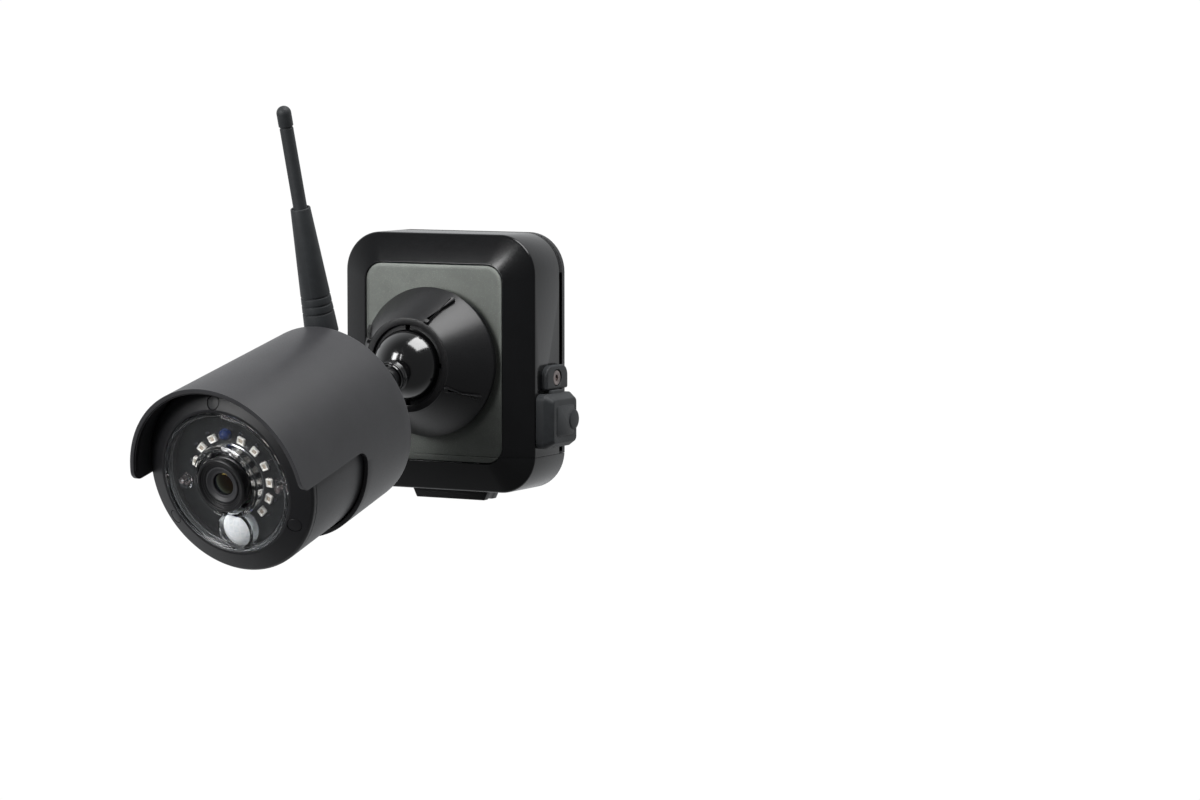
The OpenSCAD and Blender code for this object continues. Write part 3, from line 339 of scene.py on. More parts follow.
class Nodes:
    """A node tree being built, with object coordinates at hand and constants set on its shader."""

    def __init__(self, name, constants=()):
        self.material = bpy.data.materials.new(name)
        self.material.use_nodes = True
        self.tree = self.material.node_tree
        self.shader = self.tree.nodes["Principled BSDF"]
        self.output = self.tree.nodes["Material Output"]
        self.where = self.add("ShaderNodeTexCoord").outputs["Object"]
        for key, value in dict(constants).items():
            self.shader.inputs[key].default_value = value

    def add(self, kind, **values):
        node = self.tree.nodes.new(kind)
        for key, value in values.items():
            setattr(node, key, value)
        return node

    def link(self, source, target):
        self.tree.links.new(source, target)

    def noise(self, per_metre, detail=2.0, rough=0.5):
        node = self.add("ShaderNodeTexNoise")
        node.inputs["Scale"].default_value = per_metre
        node.inputs["Detail"].default_value = detail
        node.inputs["Roughness"].default_value = rough
        self.link(self.where, node.inputs["Vector"])
        return node.outputs["Fac"]

    def cells(self, per_metre, randomness=1.0, **values):
        """Distance from the edges of Voronoi cells."""
        node = self.add("ShaderNodeTexVoronoi", feature="DISTANCE_TO_EDGE", **values)
        node.inputs["Scale"].default_value = per_metre
        node.inputs["Randomness"].default_value = randomness
        self.link(self.where, node.inputs["Vector"])
        return node.outputs["Distance"]

    def span(self, value, low, high, to_low, to_high):
        node = self.add("ShaderNodeMapRange")
        self.link(value, node.inputs["Value"])
        for key, number in (("From Min", low), ("From Max", high), ("To Min", to_low), ("To Max", to_high)):
            node.inputs[key].default_value = number
        return node.outputs["Result"]

    def mix(self, factor, first, second):
        node = self.add("ShaderNodeMix", data_type="RGBA")
        self.link(factor, node.inputs["Factor"])
        for key, value in (("A", first), ("B", second)):
            socket = [s for s in node.inputs if s.name == key and s.type == "RGBA"][0]
            if isinstance(value, bpy.types.NodeSocket):
                self.link(value, socket)
            else:
                socket.default_value = (*value, 1.0)
        return [s for s in node.outputs if s.type == "RGBA"][0]

    def tone(self, value, low, high, first, second):
        """First colour below low, second above high."""
        return self.mix(self.span(value, low, high, 0.0, 1.0), first, second)

    def worn(self, base, low, high, amount, bright):
        """Lightens the convex edges."""
        edge = self.add("ShaderNodeNewGeometry").outputs["Pointiness"]
        return self.mix(self.span(edge, low, high, 0.0, amount), base, bright)

    def surface(self, base, grain, low, high, smooth, rough, heights):
        """Links colour, roughness and bumps, and hands over the material."""
        self.link(base, self.shader.inputs["Base Color"])
        self.link(self.span(grain, low, high, smooth, rough), self.shader.inputs["Roughness"])
        self.bump(heights)
        return self.material

    def bump(self, heights):
        """Stacks bumps, each a (height, depth in metres) pair, on the shader's normal."""
        normal = None
        for height, depth in heights:
            node = self.add("ShaderNodeBump")
            node.inputs["Strength"].default_value = 1.0
            node.inputs["Distance"].default_value = depth
            self.link(height, node.inputs["Height"])
            if normal is not None:
                self.link(normal, node.inputs["Normal"])
            normal = node.outputs["Normal"]
        self.link(normal, self.shader.inputs["Normal"])


def shade(color, amount):
    return tuple(min(1.0, c * amount) for c in color)


def moulded(name, color, roughness, grain=(2600, 6e-6), tint=0.18, spread=0.08, wear=0.25,
            metallic=0.0, coat=0.0, specular=0.5, speck=0.0):
    """Paint or moulded plastic: cloudy colour, speckled sheen, fine grain and edges worn a little lighter."""
    n = Nodes(name, {"Metallic": metallic, "Specular IOR Level": specular, "Coat Weight": coat,
                     "Coat Roughness": 0.1})
    fine = n.noise(grain[0], 3.0, 0.65)
    base = n.tone(n.noise(85, 4.0, 0.6), 0.3, 0.7, shade(color, 1 - tint), shade(color, 1 + tint))
    if speck:
        flake = n.span(n.noise(4200, 1.0), 0.62, 0.72, 0.0, speck)
        base = n.mix(flake, base, shade(color, 3.0))
    base = n.worn(base, 0.53, 0.64, wear, shade(color, 2.2))
    return n.surface(base, fine, 0.25, 0.75, roughness - spread, roughness + spread,
                     [(n.noise(320, 2.0), 1.2e-5), (fine, grain[1])])


def rubber(name, color):
    """Soft rubber: dull, slightly dusty, with a velvety rim."""
    n = Nodes(name, {"Sheen Weight": 0.06, "Sheen Roughness": 0.5, "Specular IOR Level": 0.45})
    fine = n.noise(3400, 3.0, 0.6)
    base = n.tone(n.noise(140, 5.0, 0.7), 0.35, 0.75, shade(color, 0.85), shade(color, 1.3))
    base = n.worn(base, 0.52, 0.62, 0.35, shade(color, 2.0))
    return n.surface(base, fine, 0.2, 0.8, 0.5, 0.68, [(n.noise(260, 3.0), 1.5e-5), (fine, 8e-6)])


def metal(name, color, roughness):
    """Bare metal with fine machining marks and stains."""
    n = Nodes(name, {"Metallic": 1.0})
    fine = n.noise(5200, 2.0)
    base = n.tone(n.noise(400, 4.0, 0.6), 0.3, 0.75, color, shade(color, 0.6))
    return n.surface(base, fine, 0.2, 0.8, roughness - 0.08, roughness + 0.1, [(fine, 3e-6)])


def board(name, color):
    """Circuit board: solder mask over a web of traces."""
    n = Nodes(name, {"Coat Weight": 0.15})
    lines = n.span(n.cells(420, distance="CHEBYCHEV"), 0.02, 0.08, 1.0, 0.0)
    base = n.mix(lines, color, shade(color, 1.7))
    return n.surface(base, n.noise(1500, 2.0), 0.2, 0.8, 0.3, 0.45, [(lines, 1.5e-5)])


def split_rays(n, kind, usual, special):
    """Shows one shader to a kind of ray and another to the rest."""
    mixer = n.add("ShaderNodeMixShader")
    n.link(n.add("ShaderNodeLightPath").outputs[kind], mixer.inputs[0])
    n.link(usual, mixer.inputs[1])
    n.link(special, mixer.inputs[2])
    n.link(mixer.outputs["Shader"], n.output.inputs["Surface"])


def lets_light_in(n):
    """Lets lamps shine through a clear part, so that what is behind it is lit."""
    split_rays(n, "Is Shadow Ray", n.shader.outputs["BSDF"], n.add("ShaderNodeBsdfTransparent").outputs["BSDF"])


def clear(name, color, roughness, ior=1.49, specular=0.5):
    """Clear polished plastic with faint moulding ripples."""
    n = Nodes(name, {"Transmission Weight": 1.0, "IOR": ior, "Specular IOR Level": specular})
    lets_light_in(n)
    base = n.tone(n.noise(260, 3.0), 0.3, 0.7, color, shade(color, 0.94))
    return n.surface(base, n.noise(900, 3.0), 0.3, 0.8, roughness, roughness + 0.05,
                     [(n.noise(160, 1.0), 1.5e-6)])


def coated_glass(name):
    """Front lens: glass whose coating tints its reflections, coloured near-black as painted shade of the unlit
    lens inside.
    """
    n = Nodes(name, {"Transmission Weight": 0.85, "IOR": 1.6, "Thin Film Thickness": 250,
                     "Thin Film IOR": 1.35})
    lets_light_in(n)
    # Painted shade: the near-black colour stands in for the dark inside of the lens seen through the glass.
    base = n.tone(n.noise(300, 2.0), 0.3, 0.7, (0.03, 0.028, 0.042), (0.02, 0.02, 0.035))
    return n.surface(base, n.noise(1200, 2.0), 0.3, 0.8, 0.02, 0.05, [(n.noise(500, 1.0), 1e-6)])


def milky(name):
    """Motion sensor's lens: milky plastic moulded in small facets."""
    n = Nodes(name, {"Subsurface Weight": 0.35, "Subsurface Scale": 0.002,
                     "Subsurface Radius": (1.0, 1.0, 0.9)})
    ridge = n.span(n.cells(380, 0.35), 0.0, 0.16, 0.0, 1.0)
    cloud = n.noise(300, 3.0)
    pale = n.tone(cloud, 0.35, 0.7, (0.80, 0.84, 0.87), (0.88, 0.91, 0.93))
    return n.surface(n.mix(ridge, (0.93, 0.95, 0.97), pale), cloud, 0.3, 0.7, 0.22, 0.36, [(ridge, 2.0e-5)])


MATERIALS = {}


def look(name, maker, *values, **more):
    """Makes a material under its slot's name."""
    MATERIALS[name] = maker(name, *values, **more)


look("shell_gloss", moulded, (0.0042, 0.0044, 0.0050), 0.2, (2400, 4e-6), spread=0.05)
look("panel_metal", moulded, (0.150, 0.160, 0.148), 0.42, (3600, 6e-6), metallic=0.8, tint=0.1, speck=0.35)
look("shell_satin", moulded, (0.009, 0.009, 0.0105), 0.42, (2200, 9e-6))
look("shade_paint", moulded, (0.036, 0.036, 0.039), 0.40, (2800, 9e-6), tint=0.08, speck=0.1)
look("barrel_paint", moulded, (0.044, 0.044, 0.047), 0.42, (2400, 1.2e-5), tint=0.08, speck=0.12)
look("bezel_grain", moulded, (0.009, 0.009, 0.0105), 0.45, (1900, 1.8e-5))
look("rubber_trim", rubber, (0.021, 0.0235, 0.026))
look("clear_cover", clear, (0.97, 0.98, 0.99), 0.01, specular=0.3)
look("lens_glass", coated_glass)
look("led_body", moulded, (0.72, 0.70, 0.66), 0.38, (3000, 4e-6), tint=0.05, wear=0.05)
look("led_clear", clear, (0.95, 0.97, 1.0), 0.02, 1.52)
look("sensor_filter", moulded, (0.010, 0.022, 0.085), 0.16, (1500, 2e-6), coat=0.6)
look("pir_white", milky)
look("ball_gloss", moulded, (0.003, 0.003, 0.0034), 0.15, (1800, 2.5e-6), spread=0.05, coat=0.6, specular=1.0)
look("mount_black", moulded, (0.0095, 0.0095, 0.0105), 0.33, (2500, 7e-6), speck=0.3)
look("screw_steel", metal, (0.36, 0.31, 0.30), 0.34)
look("contact_brass", metal, (0.78, 0.58, 0.26), 0.28)
look("board_green", board, (0.012, 0.095, 0.035))
look("board_black", board, (0.0035, 0.004, 0.0045))
look("cell_wrap", moulded, (0.03, 0.16, 0.38), 0.3, (900, 6e-6), coat=0.3)
look("inner_plastic", moulded, (0.03, 0.03, 0.033), 0.5, (2000, 1.2e-5))
look("chip_black", moulded, (0.02, 0.022, 0.035), 0.35, (2600, 5e-6))
look("lamp_well", moulded, (0.36, 0.31, 0.25), 0.45, (3000, 4e-6), tint=0.1, wear=0.05)
for part in frame["record"]["subparts"]:
    data = frame["nodes"][part["node"]].data
    data.materials.clear()
    data.materials.append(MATERIALS[part["material_slot"]])


# ---------- Battery pack (WALL: x across, y up, z out of the wall) ----------

PACK_CORNER = 15.5
PANEL_CORNER = 7.0
WALL_T = 2.2
LIP = 0.6
RECESS_GAP = 0.15
SIDE_DEPTH = 25.0
CAVITY_DEPTH = 26.4

shell_low, shell_high = span("front_shell", WALL)
cover_low, cover_high = span("back_cover", WALL)
panel_low, panel_high = span("front_panel", WALL)
trim_low, trim_high = span("cap_trim", WALL)
pack_w = 2 * cover_high.x
pack_h = 2 * cover_high.y
pack_d = shell_high.z
panel_w = 2 * panel_high.x
panel_h = 2 * panel_high.y
ridge_in = (pack_w - panel_w) / 2 - LIP


def pack_rings(profile):
    """Rings of the pack's outline for (inset, height) points; the corners tighten towards the panel's."""
    rings = []
    for inset, z in profile:
        r = PACK_CORNER + (PANEL_CORNER + LIP - PACK_CORNER) * min(inset / ridge_in, 1.0)
        if inset > ridge_in:
            r -= inset - ridge_in
        rings.append(rect_ring(pack_w - 2 * inset, pack_h - 2 * inset, r, z, 14))
    return rings


def pack_front(foot, foot_edge):
    """Outer skin from the back edge over the bevel and the ridge into the panel's recess."""
    return rounded([
        (foot_edge + 0.01, foot, 0),
        (0, foot, foot_edge),
        (0, SIDE_DEPTH, 1.3),
        (ridge_in, pack_d, 0.35),
        (ridge_in + LIP - RECESS_GAP, pack_d, 0.15),
        (ridge_in + LIP - RECESS_GAP, panel_low.z, 0),
    ], closed=False, steps=5)


CAVITY = [(ridge_in + LIP + 1, CAVITY_DEPTH), (WALL_T, SIDE_DEPTH - 1), (WALL_T, cover_high.z + 0.1)]


def sunk_box(middle, w, h, near, far, radius):
    return loft([rect_ring(w, h, radius, z, 5, middle) for z in (near, far)])


def countersink(x, y, face, mouth_r, deep, far, shank_r=1.4):
    """Cutter for a screw hole along z whose cone opens at a face."""
    line = ((0, face - 1), (mouth_r, face - 1), (shank_r, face + deep), (shank_r, far), (0, far))
    return moved(lathe([Vector(p) for p in line], False, 40), shifted(x, y, 0))


def front_shell():
    """Upper part of the pack, with the charging port's recess in its right-hand side."""
    body = keep_side(loft(pack_rings(CAVITY + pack_front(shell_low.z, 0.12))), shell_low.y, 1)
    usb = centre("usb_socket", SIDE)
    button = centre("pair_button", SIDE)
    button_top = span("pair_button", SIDE)[1]
    recess_up = (span("usb_socket", SIDE)[0].y + button_top.y) / 2 + 0.2
    side_x = shell_high.x
    cuts = [
        sunk_box((usb.x, recess_up), 14, 15, button_top.z, side_x + 3, 2),
        sunk_box((usb.x, usb.y), 3.3, 8.1, side_x - 4, side_x, 0.4),
        sunk_box((usb.x, button.y), 3.75, 3.75, side_x - 4, side_x, 1.87),
    ]
    cuts = [moved(cut, WALL.inverted() @ SIDE) for cut in cuts]
    piece("pack_shell", body, WALL, "pack", "shell_gloss", ["front_shell"], cuts=cuts, bevel=0.22)


def battery_cap():
    """Lower end of the pack, which draws out downwards with the cells."""
    outer = loft(pack_rings([(1.2, 0.0)] + pack_front(0.0, 0.9)))
    inner = loft(pack_rings([(WALL_T, WALL_T)] + CAVITY[1::-1]))
    bmesh.ops.reverse_faces(inner, faces=inner.faces[:])
    body = keep_side(merged(outer, inner), trim_high.y, -1)
    slot_z = centre("release_latch", WALL).z + 1.5
    slot = loft([rect_ring(16.6, 8.6, 0.5, z, 3, (0, slot_z)) for z in (0, 12)])
    slot = moved(slot, shifted(0, -pack_h / 2 + 6, 0) @ turned(90, "X"))
    piece("battery_end_cap", body, WALL, "battery", "shell_gloss", ["battery_cap"], cuts=[slot], bevel=0.22)


def cap_spigot():
    """Wall on the end cap that enters the shell's mouth, and the posts that carry the cell tray."""
    low, high = span("cap_seal", WALL)
    foot, top = trim_high.y - 1.8, span("battery_cap", WALL)[1].y
    w, d = high.x - low.x - 0.6, high.z - low.z - 0.6
    wall = 1.2
    outline = rounded([(0, foot, 0.1), (0, top, 0.35), (wall, top, 0.35), (wall, foot, 0.1)])
    middle = (0, -(low.z + high.z) / 2)
    rings = [rect_ring(w - 2 * i, d - 2 * i, max(0.6 - i, 0.1) + 0.5, y, 4, middle) for i, y in outline]
    ring = loft(rings + rings[:1], caps=False)
    bmesh.ops.remove_doubles(ring, verts=ring.verts[:], dist=1e-4)
    upright = turned(-90, "X")
    parts = [moved(outward(ring), upright)]
    tray_foot = span("battery_tray", WALL)[0].y
    for x, y in clusters("tray_screws", WALL @ upright):
        post = rod(3.0, -pack_h / 2 + WALL_T - 0.3, tray_foot, 0.3, 40)
        parts.append(moved(post, shifted(x, 0, -y) @ upright))
    piece("end_cap_spigot", merged(*parts), WALL, "battery", "shell_gloss")


def panel(name, node, side, body, cut_y):
    """Metallic plate on the front, with a softly rolled edge."""
    low, high = span(node, WALL)
    line = rounded([(0, low.z, 0.1), (0, high.z, 0.4), (2, high.z, 0)], closed=False)
    rings = [rect_ring(panel_w - 2 * i, panel_h - 2 * i, PANEL_CORNER - i, z, 14) for i, z in line]
    piece(name, keep_side(loft(rings), cut_y, side), WALL, body, "panel_metal", [node], bevel=0.14)


def back_cover():
    """Flat rear plate with two keyholes, the bracket thread's hole and four countersunk screw holes."""
    line = rounded([(0.8, 0, 0), (0, 0, 0.7), (0, cover_high.z, 0.1), (0.6, cover_high.z, 0)], closed=False)
    body = keep_side(loft(pack_rings(line)), cover_low.y, 1)
    keyholes = MOUNTS["keyholes"]
    half = keyholes["dims"]["spacing_y_mm"] / 2
    middle = keyholes["pos_m"][2] / MM
    slot_r, slot_len, entry_r, thread_r = 2.1, 10.0, 4.2, 3.95
    cuts = []
    for up in (middle + half, middle - half):
        cuts.append(sunk_box((0, up + slot_len / 2 + 1.5), 2 * slot_r, slot_len, -2, 4, slot_r - 0.01))
        cuts.append(moved(rod(entry_r, -2, 4, 0, 48), shifted(0, up, 0)))
    thread_up = MOUNTS["bracket_thread"]["pos_m"][2] / MM
    cuts.append(moved(rod(thread_r, -2, 4, 0, 48), shifted(0, thread_up, 0)))
    cuts += [countersink(x, y, 0, 3.7, 1.3, 4) for x, y in clusters("cover_screws", WALL)]
    piece("rear_plate", body, WALL, "pack", "shell_satin", ["back_cover"], cuts=cuts, bevel=0.12)


def release_latch():
    """Finger latch under the pack: a trapezium with grip lines."""
    low, high = span("release_latch", WALL)
    half = (high.x - low.x) / 2
    foot, top = low.y + 0.01, -pack_h / 2 - 0.2
    slope = 2.0
    shape = [(-half, top), (slope - half, foot), (half - slope, foot), (half, top)]
    rings = []
    for step, sunk in ((0, 0), (3.2, 0), (3.9, 0.45), (6.1, 0.45), (6.8, 0), (high.z - low.z, 0)):
        rings.append([(x, y + (sunk if y < top else 0), low.z + step) for x, y in shape])
    paddle = loft(rings)
    bmesh.ops.bevel(paddle, geom=paddle.edges[:], offset=0.3, segments=3, affect="EDGES", profile=0.5)
    middle = (low.z + high.z) / 2
    stem = block((-8, top - 0.3, middle - 2.5), (8, -pack_h / 2 + WALL_T + 0.4, middle + 2.5), 0.5, 0.3)
    plate = block((-11, high.y - 1.6, low.z + 0.5), (11, high.y, high.z - 0.5), 0.4, 0.4)
    piece("finger_latch", merged(paddle, stem, plate), WALL, "latch", "shell_satin", ["release_latch"])


# ---------- Charging port (SIDE: x into the wall, y up, z out of the right-hand side) ----------

CAP_SHAPE = 21.4 / 23.6


def port_cap():
    """Rubber plug with a chamfered face, a finger tab and its living hinge."""
    low, high = span("port_cap", SIDE)
    w = high.x - low.x
    h = w * CAP_SHAPE
    foot = shell_high.x + 0.05
    top = foot + 6.85
    across, up = (low.x + high.x) / 2, low.y + h / 2
    middle = (across, up)
    chamfer = 2.4
    line = rounded([(0.5, foot, 0), (0, foot, 0.4), (0, foot + 3.3, 0.9), (chamfer, top, 0.9), (3.6, top, 0)],
                   closed=False, steps=5)
    body = loft([rect_ring(w - 2 * i, h - 1.85 * i, 2.6 - 0.9 * min(i / chamfer, 1.0), z, 8, middle)
                 for i, z in line])
    pad = loft([rect_ring(w - 8.6 - 2 * i, h - 8.4 - 2 * i, 1.4, top - 0.3 + i * 0.8, 6, middle)
                for i in (0.0, 0.3, 0.5, 0.62)])
    tab = spun([(0, top - 2, 0), (4.2, top - 2, 0.1), (4.2, high.z, 0.9), (0, high.z, 0)], 4, 64)
    inner = (centre("usb_socket", SIDE).x, up + 0.25)
    plug = loft([rect_ring(12.6 - i, 12.8 - i, 1.5, z, 5, inner)
                 for i, z in ((0.6, low.z), (0, low.z + 0.3), (0, foot + 0.4))])
    hinge = Vector(JOINTS["port_cap_hinge"]["pos_m"]) / MM
    half, bar = 5, 0.6
    bead = moved(rod(bar, -half, half, 0.25, 32), shifted(across, hinge.z, hinge.x) @ turned(90, "Y"))
    strap = block((across - half, hinge.z - 1.5, hinge.x - bar), (across + half, hinge.z, hinge.x + bar),
                  0.3, 0.3)
    parts = merged(body, pad, moved(tab, shifted(across + 6.8, up, 0)), plug, bead, strap)
    piece("port_plug", parts, SIDE, "port_cover", "rubber_trim", ["port_cap"], sharp=math.radians(50))


def port_anchor():
    """Rubber tab that holds the cap, screwed to the side."""
    low, high = span("port_anchor", SIDE)
    w, h = high.x - low.x, high.y - low.y
    middle = ((low.x + high.x) / 2, (low.y + high.y) / 2)
    line = rounded([(0, low.z, 0.1), (0, high.z, 0.8), (2, high.z, 0)], closed=False, steps=5)
    rings = []
    for i, z in line:
        radii = [4.5 - i] * 2 + [max(0.9 - i, 0.15)] * 2
        rings.append(rect_ring(w - 2 * i, h - 2 * i, radii, z, 8, middle))
    seat, rim = low.z + 0.9, high.z + 1
    cut = spun([(0, seat, 0), (3.3, seat, 0), (3.3, high.z - 0.25, 0.1), (3.6, high.z + 0.1, 0), (3.6, rim, 0),
                (0, rim, 0)], 4, 64)
    cut = moved(cut, shifted(*clusters("port_screw", SIDE)[0], 0))
    piece("port_anchor_tab", loft(rings), SIDE, "pack", "rubber_trim", ["port_anchor"], cuts=[cut])


def hex_recess(r, near, far):
    turns = [TAU * k / 6 for k in range(6)]
    return loft([[(r * math.cos(t), r * math.sin(t), z) for t in turns] for z in (near, far)])


def port_screw():
    """Socket-head screw in the anchor."""
    low, high = span("port_screw", SIDE)
    at = shifted(*clusters("port_screw", SIDE)[0], 0)
    r = reach("port_screw", SIDE @ Matrix.Translation(at.translation * MM), high.z - 0.3)[1]
    neck_z, face = high.z - 1.2, high.z - 0.12
    head = spun([(0, low.z, 0), (1.2, low.z, 0.2), (1.2, neck_z, 0.05), (r, neck_z, 0.1), (r, high.z, 0.35),
                 (2.1, high.z, 0.05), (1.75, face, 0.05), (0, face, 0)], 4, 64)
    cut = hex_recess(1.4, high.z - 0.8, high.z + 1)
    piece("anchor_screw", moved(head, at), SIDE, "pack", "screw_steel", ["port_screw"], cuts=[moved(cut, at)])


# ---------- Ball mount (MOUNT: from the ball's centre, z away from the wall) ----------

RIB_TURNS = [62.5 + 90 * k for k in range(4)]


def capsule_ring(length, half, inset, z):
    """Outline of a bar with one round end, its straight end at x = length."""
    r = half - inset
    points = [(half - r * math.cos(t), -r * math.sin(t), z)
              for t in [TAU / 4 * (k / 6 - 1) for k in range(13)]]
    return points[::-1] + [(length, -r, z), (length, r, z)]


def clamp_collar():
    """Conical nut that clamps the ball: a flat front ring, a long cone and four pill-shaped ribs."""
    low, high = span("collar", MOUNT)
    back = low.z
    outer = reach("collar", MOUNT, back, back + 1.5)[1]
    lip = reach("collar", MOUNT, high.z - 2)[0]
    front = max(p.z for p in local_points("collar", MOUNT) if math.hypot(p.x, p.y) < lip + 0.5)
    nose = lip + 2.9
    thread = reach("pressure_ring", MOUNT)[1] + 0.4
    cone = spun([
        (outer - 0.7, back, 0.3), (outer, back + 0.8, 0.5), (nose + 0.35, front - 0.9, 0.25),
        (nose + 0.1, front - 0.55, 0.1), (nose, front, 0.3), (lip, front, 0.35), (lip + 0.2, front - 1.1, 0.2),
        (17.9, front - 1.3, 0.2), (19.5, front - 6.6, 0.2), (thread, front - 6.6, 0.2),
        (thread, back + 0.4, 0.2), (thread + 1.8, back + 0.4, 0.2), (thread + 2.2, back + 5.6, 0.2),
        (27.6, back + 0.9, 0.2), (28.2, back, 0.1),
    ], closed=True)
    run, rise = outer - nose - 0.4, front - back - 1.7
    length = math.hypot(run, rise)
    lean = math.degrees(math.atan2(run, rise))
    foot, half, proud = 2.6, 1.25, 1.25
    layers = ((0.0, -0.8), (0.0, proud - 0.55), (0.12, proud - 0.2), (0.4, proud), (0.75, proud - 0.06))
    parts = [cone]
    for turn in RIB_TURNS:
        bar = loft([capsule_ring(length - foot, half, i, z) for i, z in layers])
        lug = block((length - foot - 0.8, -0.95, -0.6), (length - foot + 1.0, 0.95, proud + 0.12), 0.5, 0.3)
        stand = turned(turn) @ shifted(outer, 0, back + 0.8) @ turned(-lean, "Y") @ turned(-90, "Y")
        stand = stand @ turned(180, "X") @ shifted(foot, 0, 0)
        parts += [moved(bar, stand), moved(lug, stand)]
    piece("clamp_cone", merged(*parts), MOUNT, "clamp_collar", "mount_black", ["collar"])


def ball():
    """Polished ball with the flange ring that the neck stands on."""
    high = span("ball", HEAD)[1]
    r, top = high.x, high.z
    ring = reach("ball", HEAD, top - 1.5, top - 0.5)[1]
    curve = arc((0, 0), r, -90, math.degrees(math.acos(ring / r)) - 1.5, 60)
    curve[0].x = 0
    flange = rounded([
        (ring + 0.15, math.sqrt(r * r - ring * ring) - 0.1, 0), (ring, top - 1.9, 0.3), (ring, top - 0.6, 0.35),
        (ring - 0.6, top - 0.55, 0.1), (ring - 0.75, top, 0.2), (0, top, 0),
    ], closed=False)
    bump = block((ring - 1.1, -0.8, top - 1.7), (ring + 0.25, 0.8, top - 0.3), 0.4, 0.25)
    parts = merged(lathe(curve + flange, False, 128), moved(bump, turned(-60)))
    piece("polished_ball", parts, HEAD, "ball_stem", "ball_gloss", ["ball"])


def neck():
    """Hollow neck with four grip rings near the ball."""
    high = span("neck", HEAD)[1]
    grip = high.x
    r = grip - 0.5
    bore, deep = 2.4, high.z - 6
    foot = span("ball", HEAD)[1].z - 0.1
    points = [(0, foot, 0), (r, foot, 0.1)]
    for s in [foot + 2.3 + 2.4 * k for k in range(4)]:
        points += [(r, s, 0.12), (grip, s + 0.1, 0.2), (grip, s + 1.2, 0.2), (r, s + 1.3, 0.12)]
    points += [(r, high.z, 0.3), (bore, high.z, 0.2), (bore, deep, 0), (0, deep, 0)]
    piece("neck_tube", spun(points, 3, 96), HEAD, "ball_stem", "mount_black", ["neck"])


# ---------- Camera head (HEAD: from the ball's centre, x across, y up, z forward) ----------

barrel_low, barrel_high = span("barrel", HEAD)
bezel_low, bezel_high = span("front_bezel", HEAD)
window_low, window_high = span("window", HEAD)
shade_low, shade_high = span("sunshade", HEAD)
board_top = span("led_board", HEAD)[1].z
PLUG_TURNS = [math.degrees(math.atan2(y, x)) for x, y in clusters("bezel_plugs", HEAD)]
PLUG_AT = math.hypot(*clusters("bezel_plugs", HEAD)[0])


def rear_cap():
    """Dished rear plate with a boss for the neck and three countersunk screws."""
    back = span("rear_cap", HEAD)[0].z
    plate = back + 16
    front = plate + 3.4
    rim = reach("rear_cap", HEAD, front - 0.2, front + 0.2)[1]
    inner = reach("neck_nut", HEAD)[0] + 0.06
    body = spun([
        (inner, back, 0.2), (8.2, back, 0.6), (9.2, back + 1, 0.8), (12.2, plate - 3, 3), (15.5, plate, 2.5),
        (rim - 1.6, plate, 0.5), (rim, plate + 1.5, 0.8), (rim, front, 0.2), (rim - 2.0, front, 0.1),
        (rim - 2.2, front + 4, 0.3), (rim - 4.2, front + 4, 0.3), (rim - 4.2, front, 0.1), (inner, front, 0.2),
    ], closed=True)
    cuts = [countersink(x, y, plate, 3.8, 1.4, front + 6) for x, y in clusters("rear_screws", HEAD)]
    piece("rear_plate_of_head", body, HEAD, "head", "barrel_paint", ["rear_cap"], cuts=cuts)


def barrel():
    """Tapered metal barrel with the ledge that carries the lamp board."""
    back, front = barrel_low.z, barrel_high.z
    r_back = reach("barrel", HEAD, back - 0.01, back + 0.01)[1]
    r_front = reach("barrel", HEAD, front - 0.01, front + 0.01)[1]
    bore, ledge_r = 31.5, 26
    ledge_top, ledge_back = board_top - 1.2, board_top - 2.6
    body = spun([
        (bore, back, 0.2), (r_back, back, 0.5), (r_front, front, 0.35), (bore, front, 0.2),
        (bore, board_top + 0.1, 0), (ledge_r, ledge_top, 0), (ledge_r, ledge_back, 0), (bore, ledge_back, 0),
    ], 4, 192, True)
    piece("barrel_tube", body, HEAD, "head", "barrel_paint", ["barrel"])


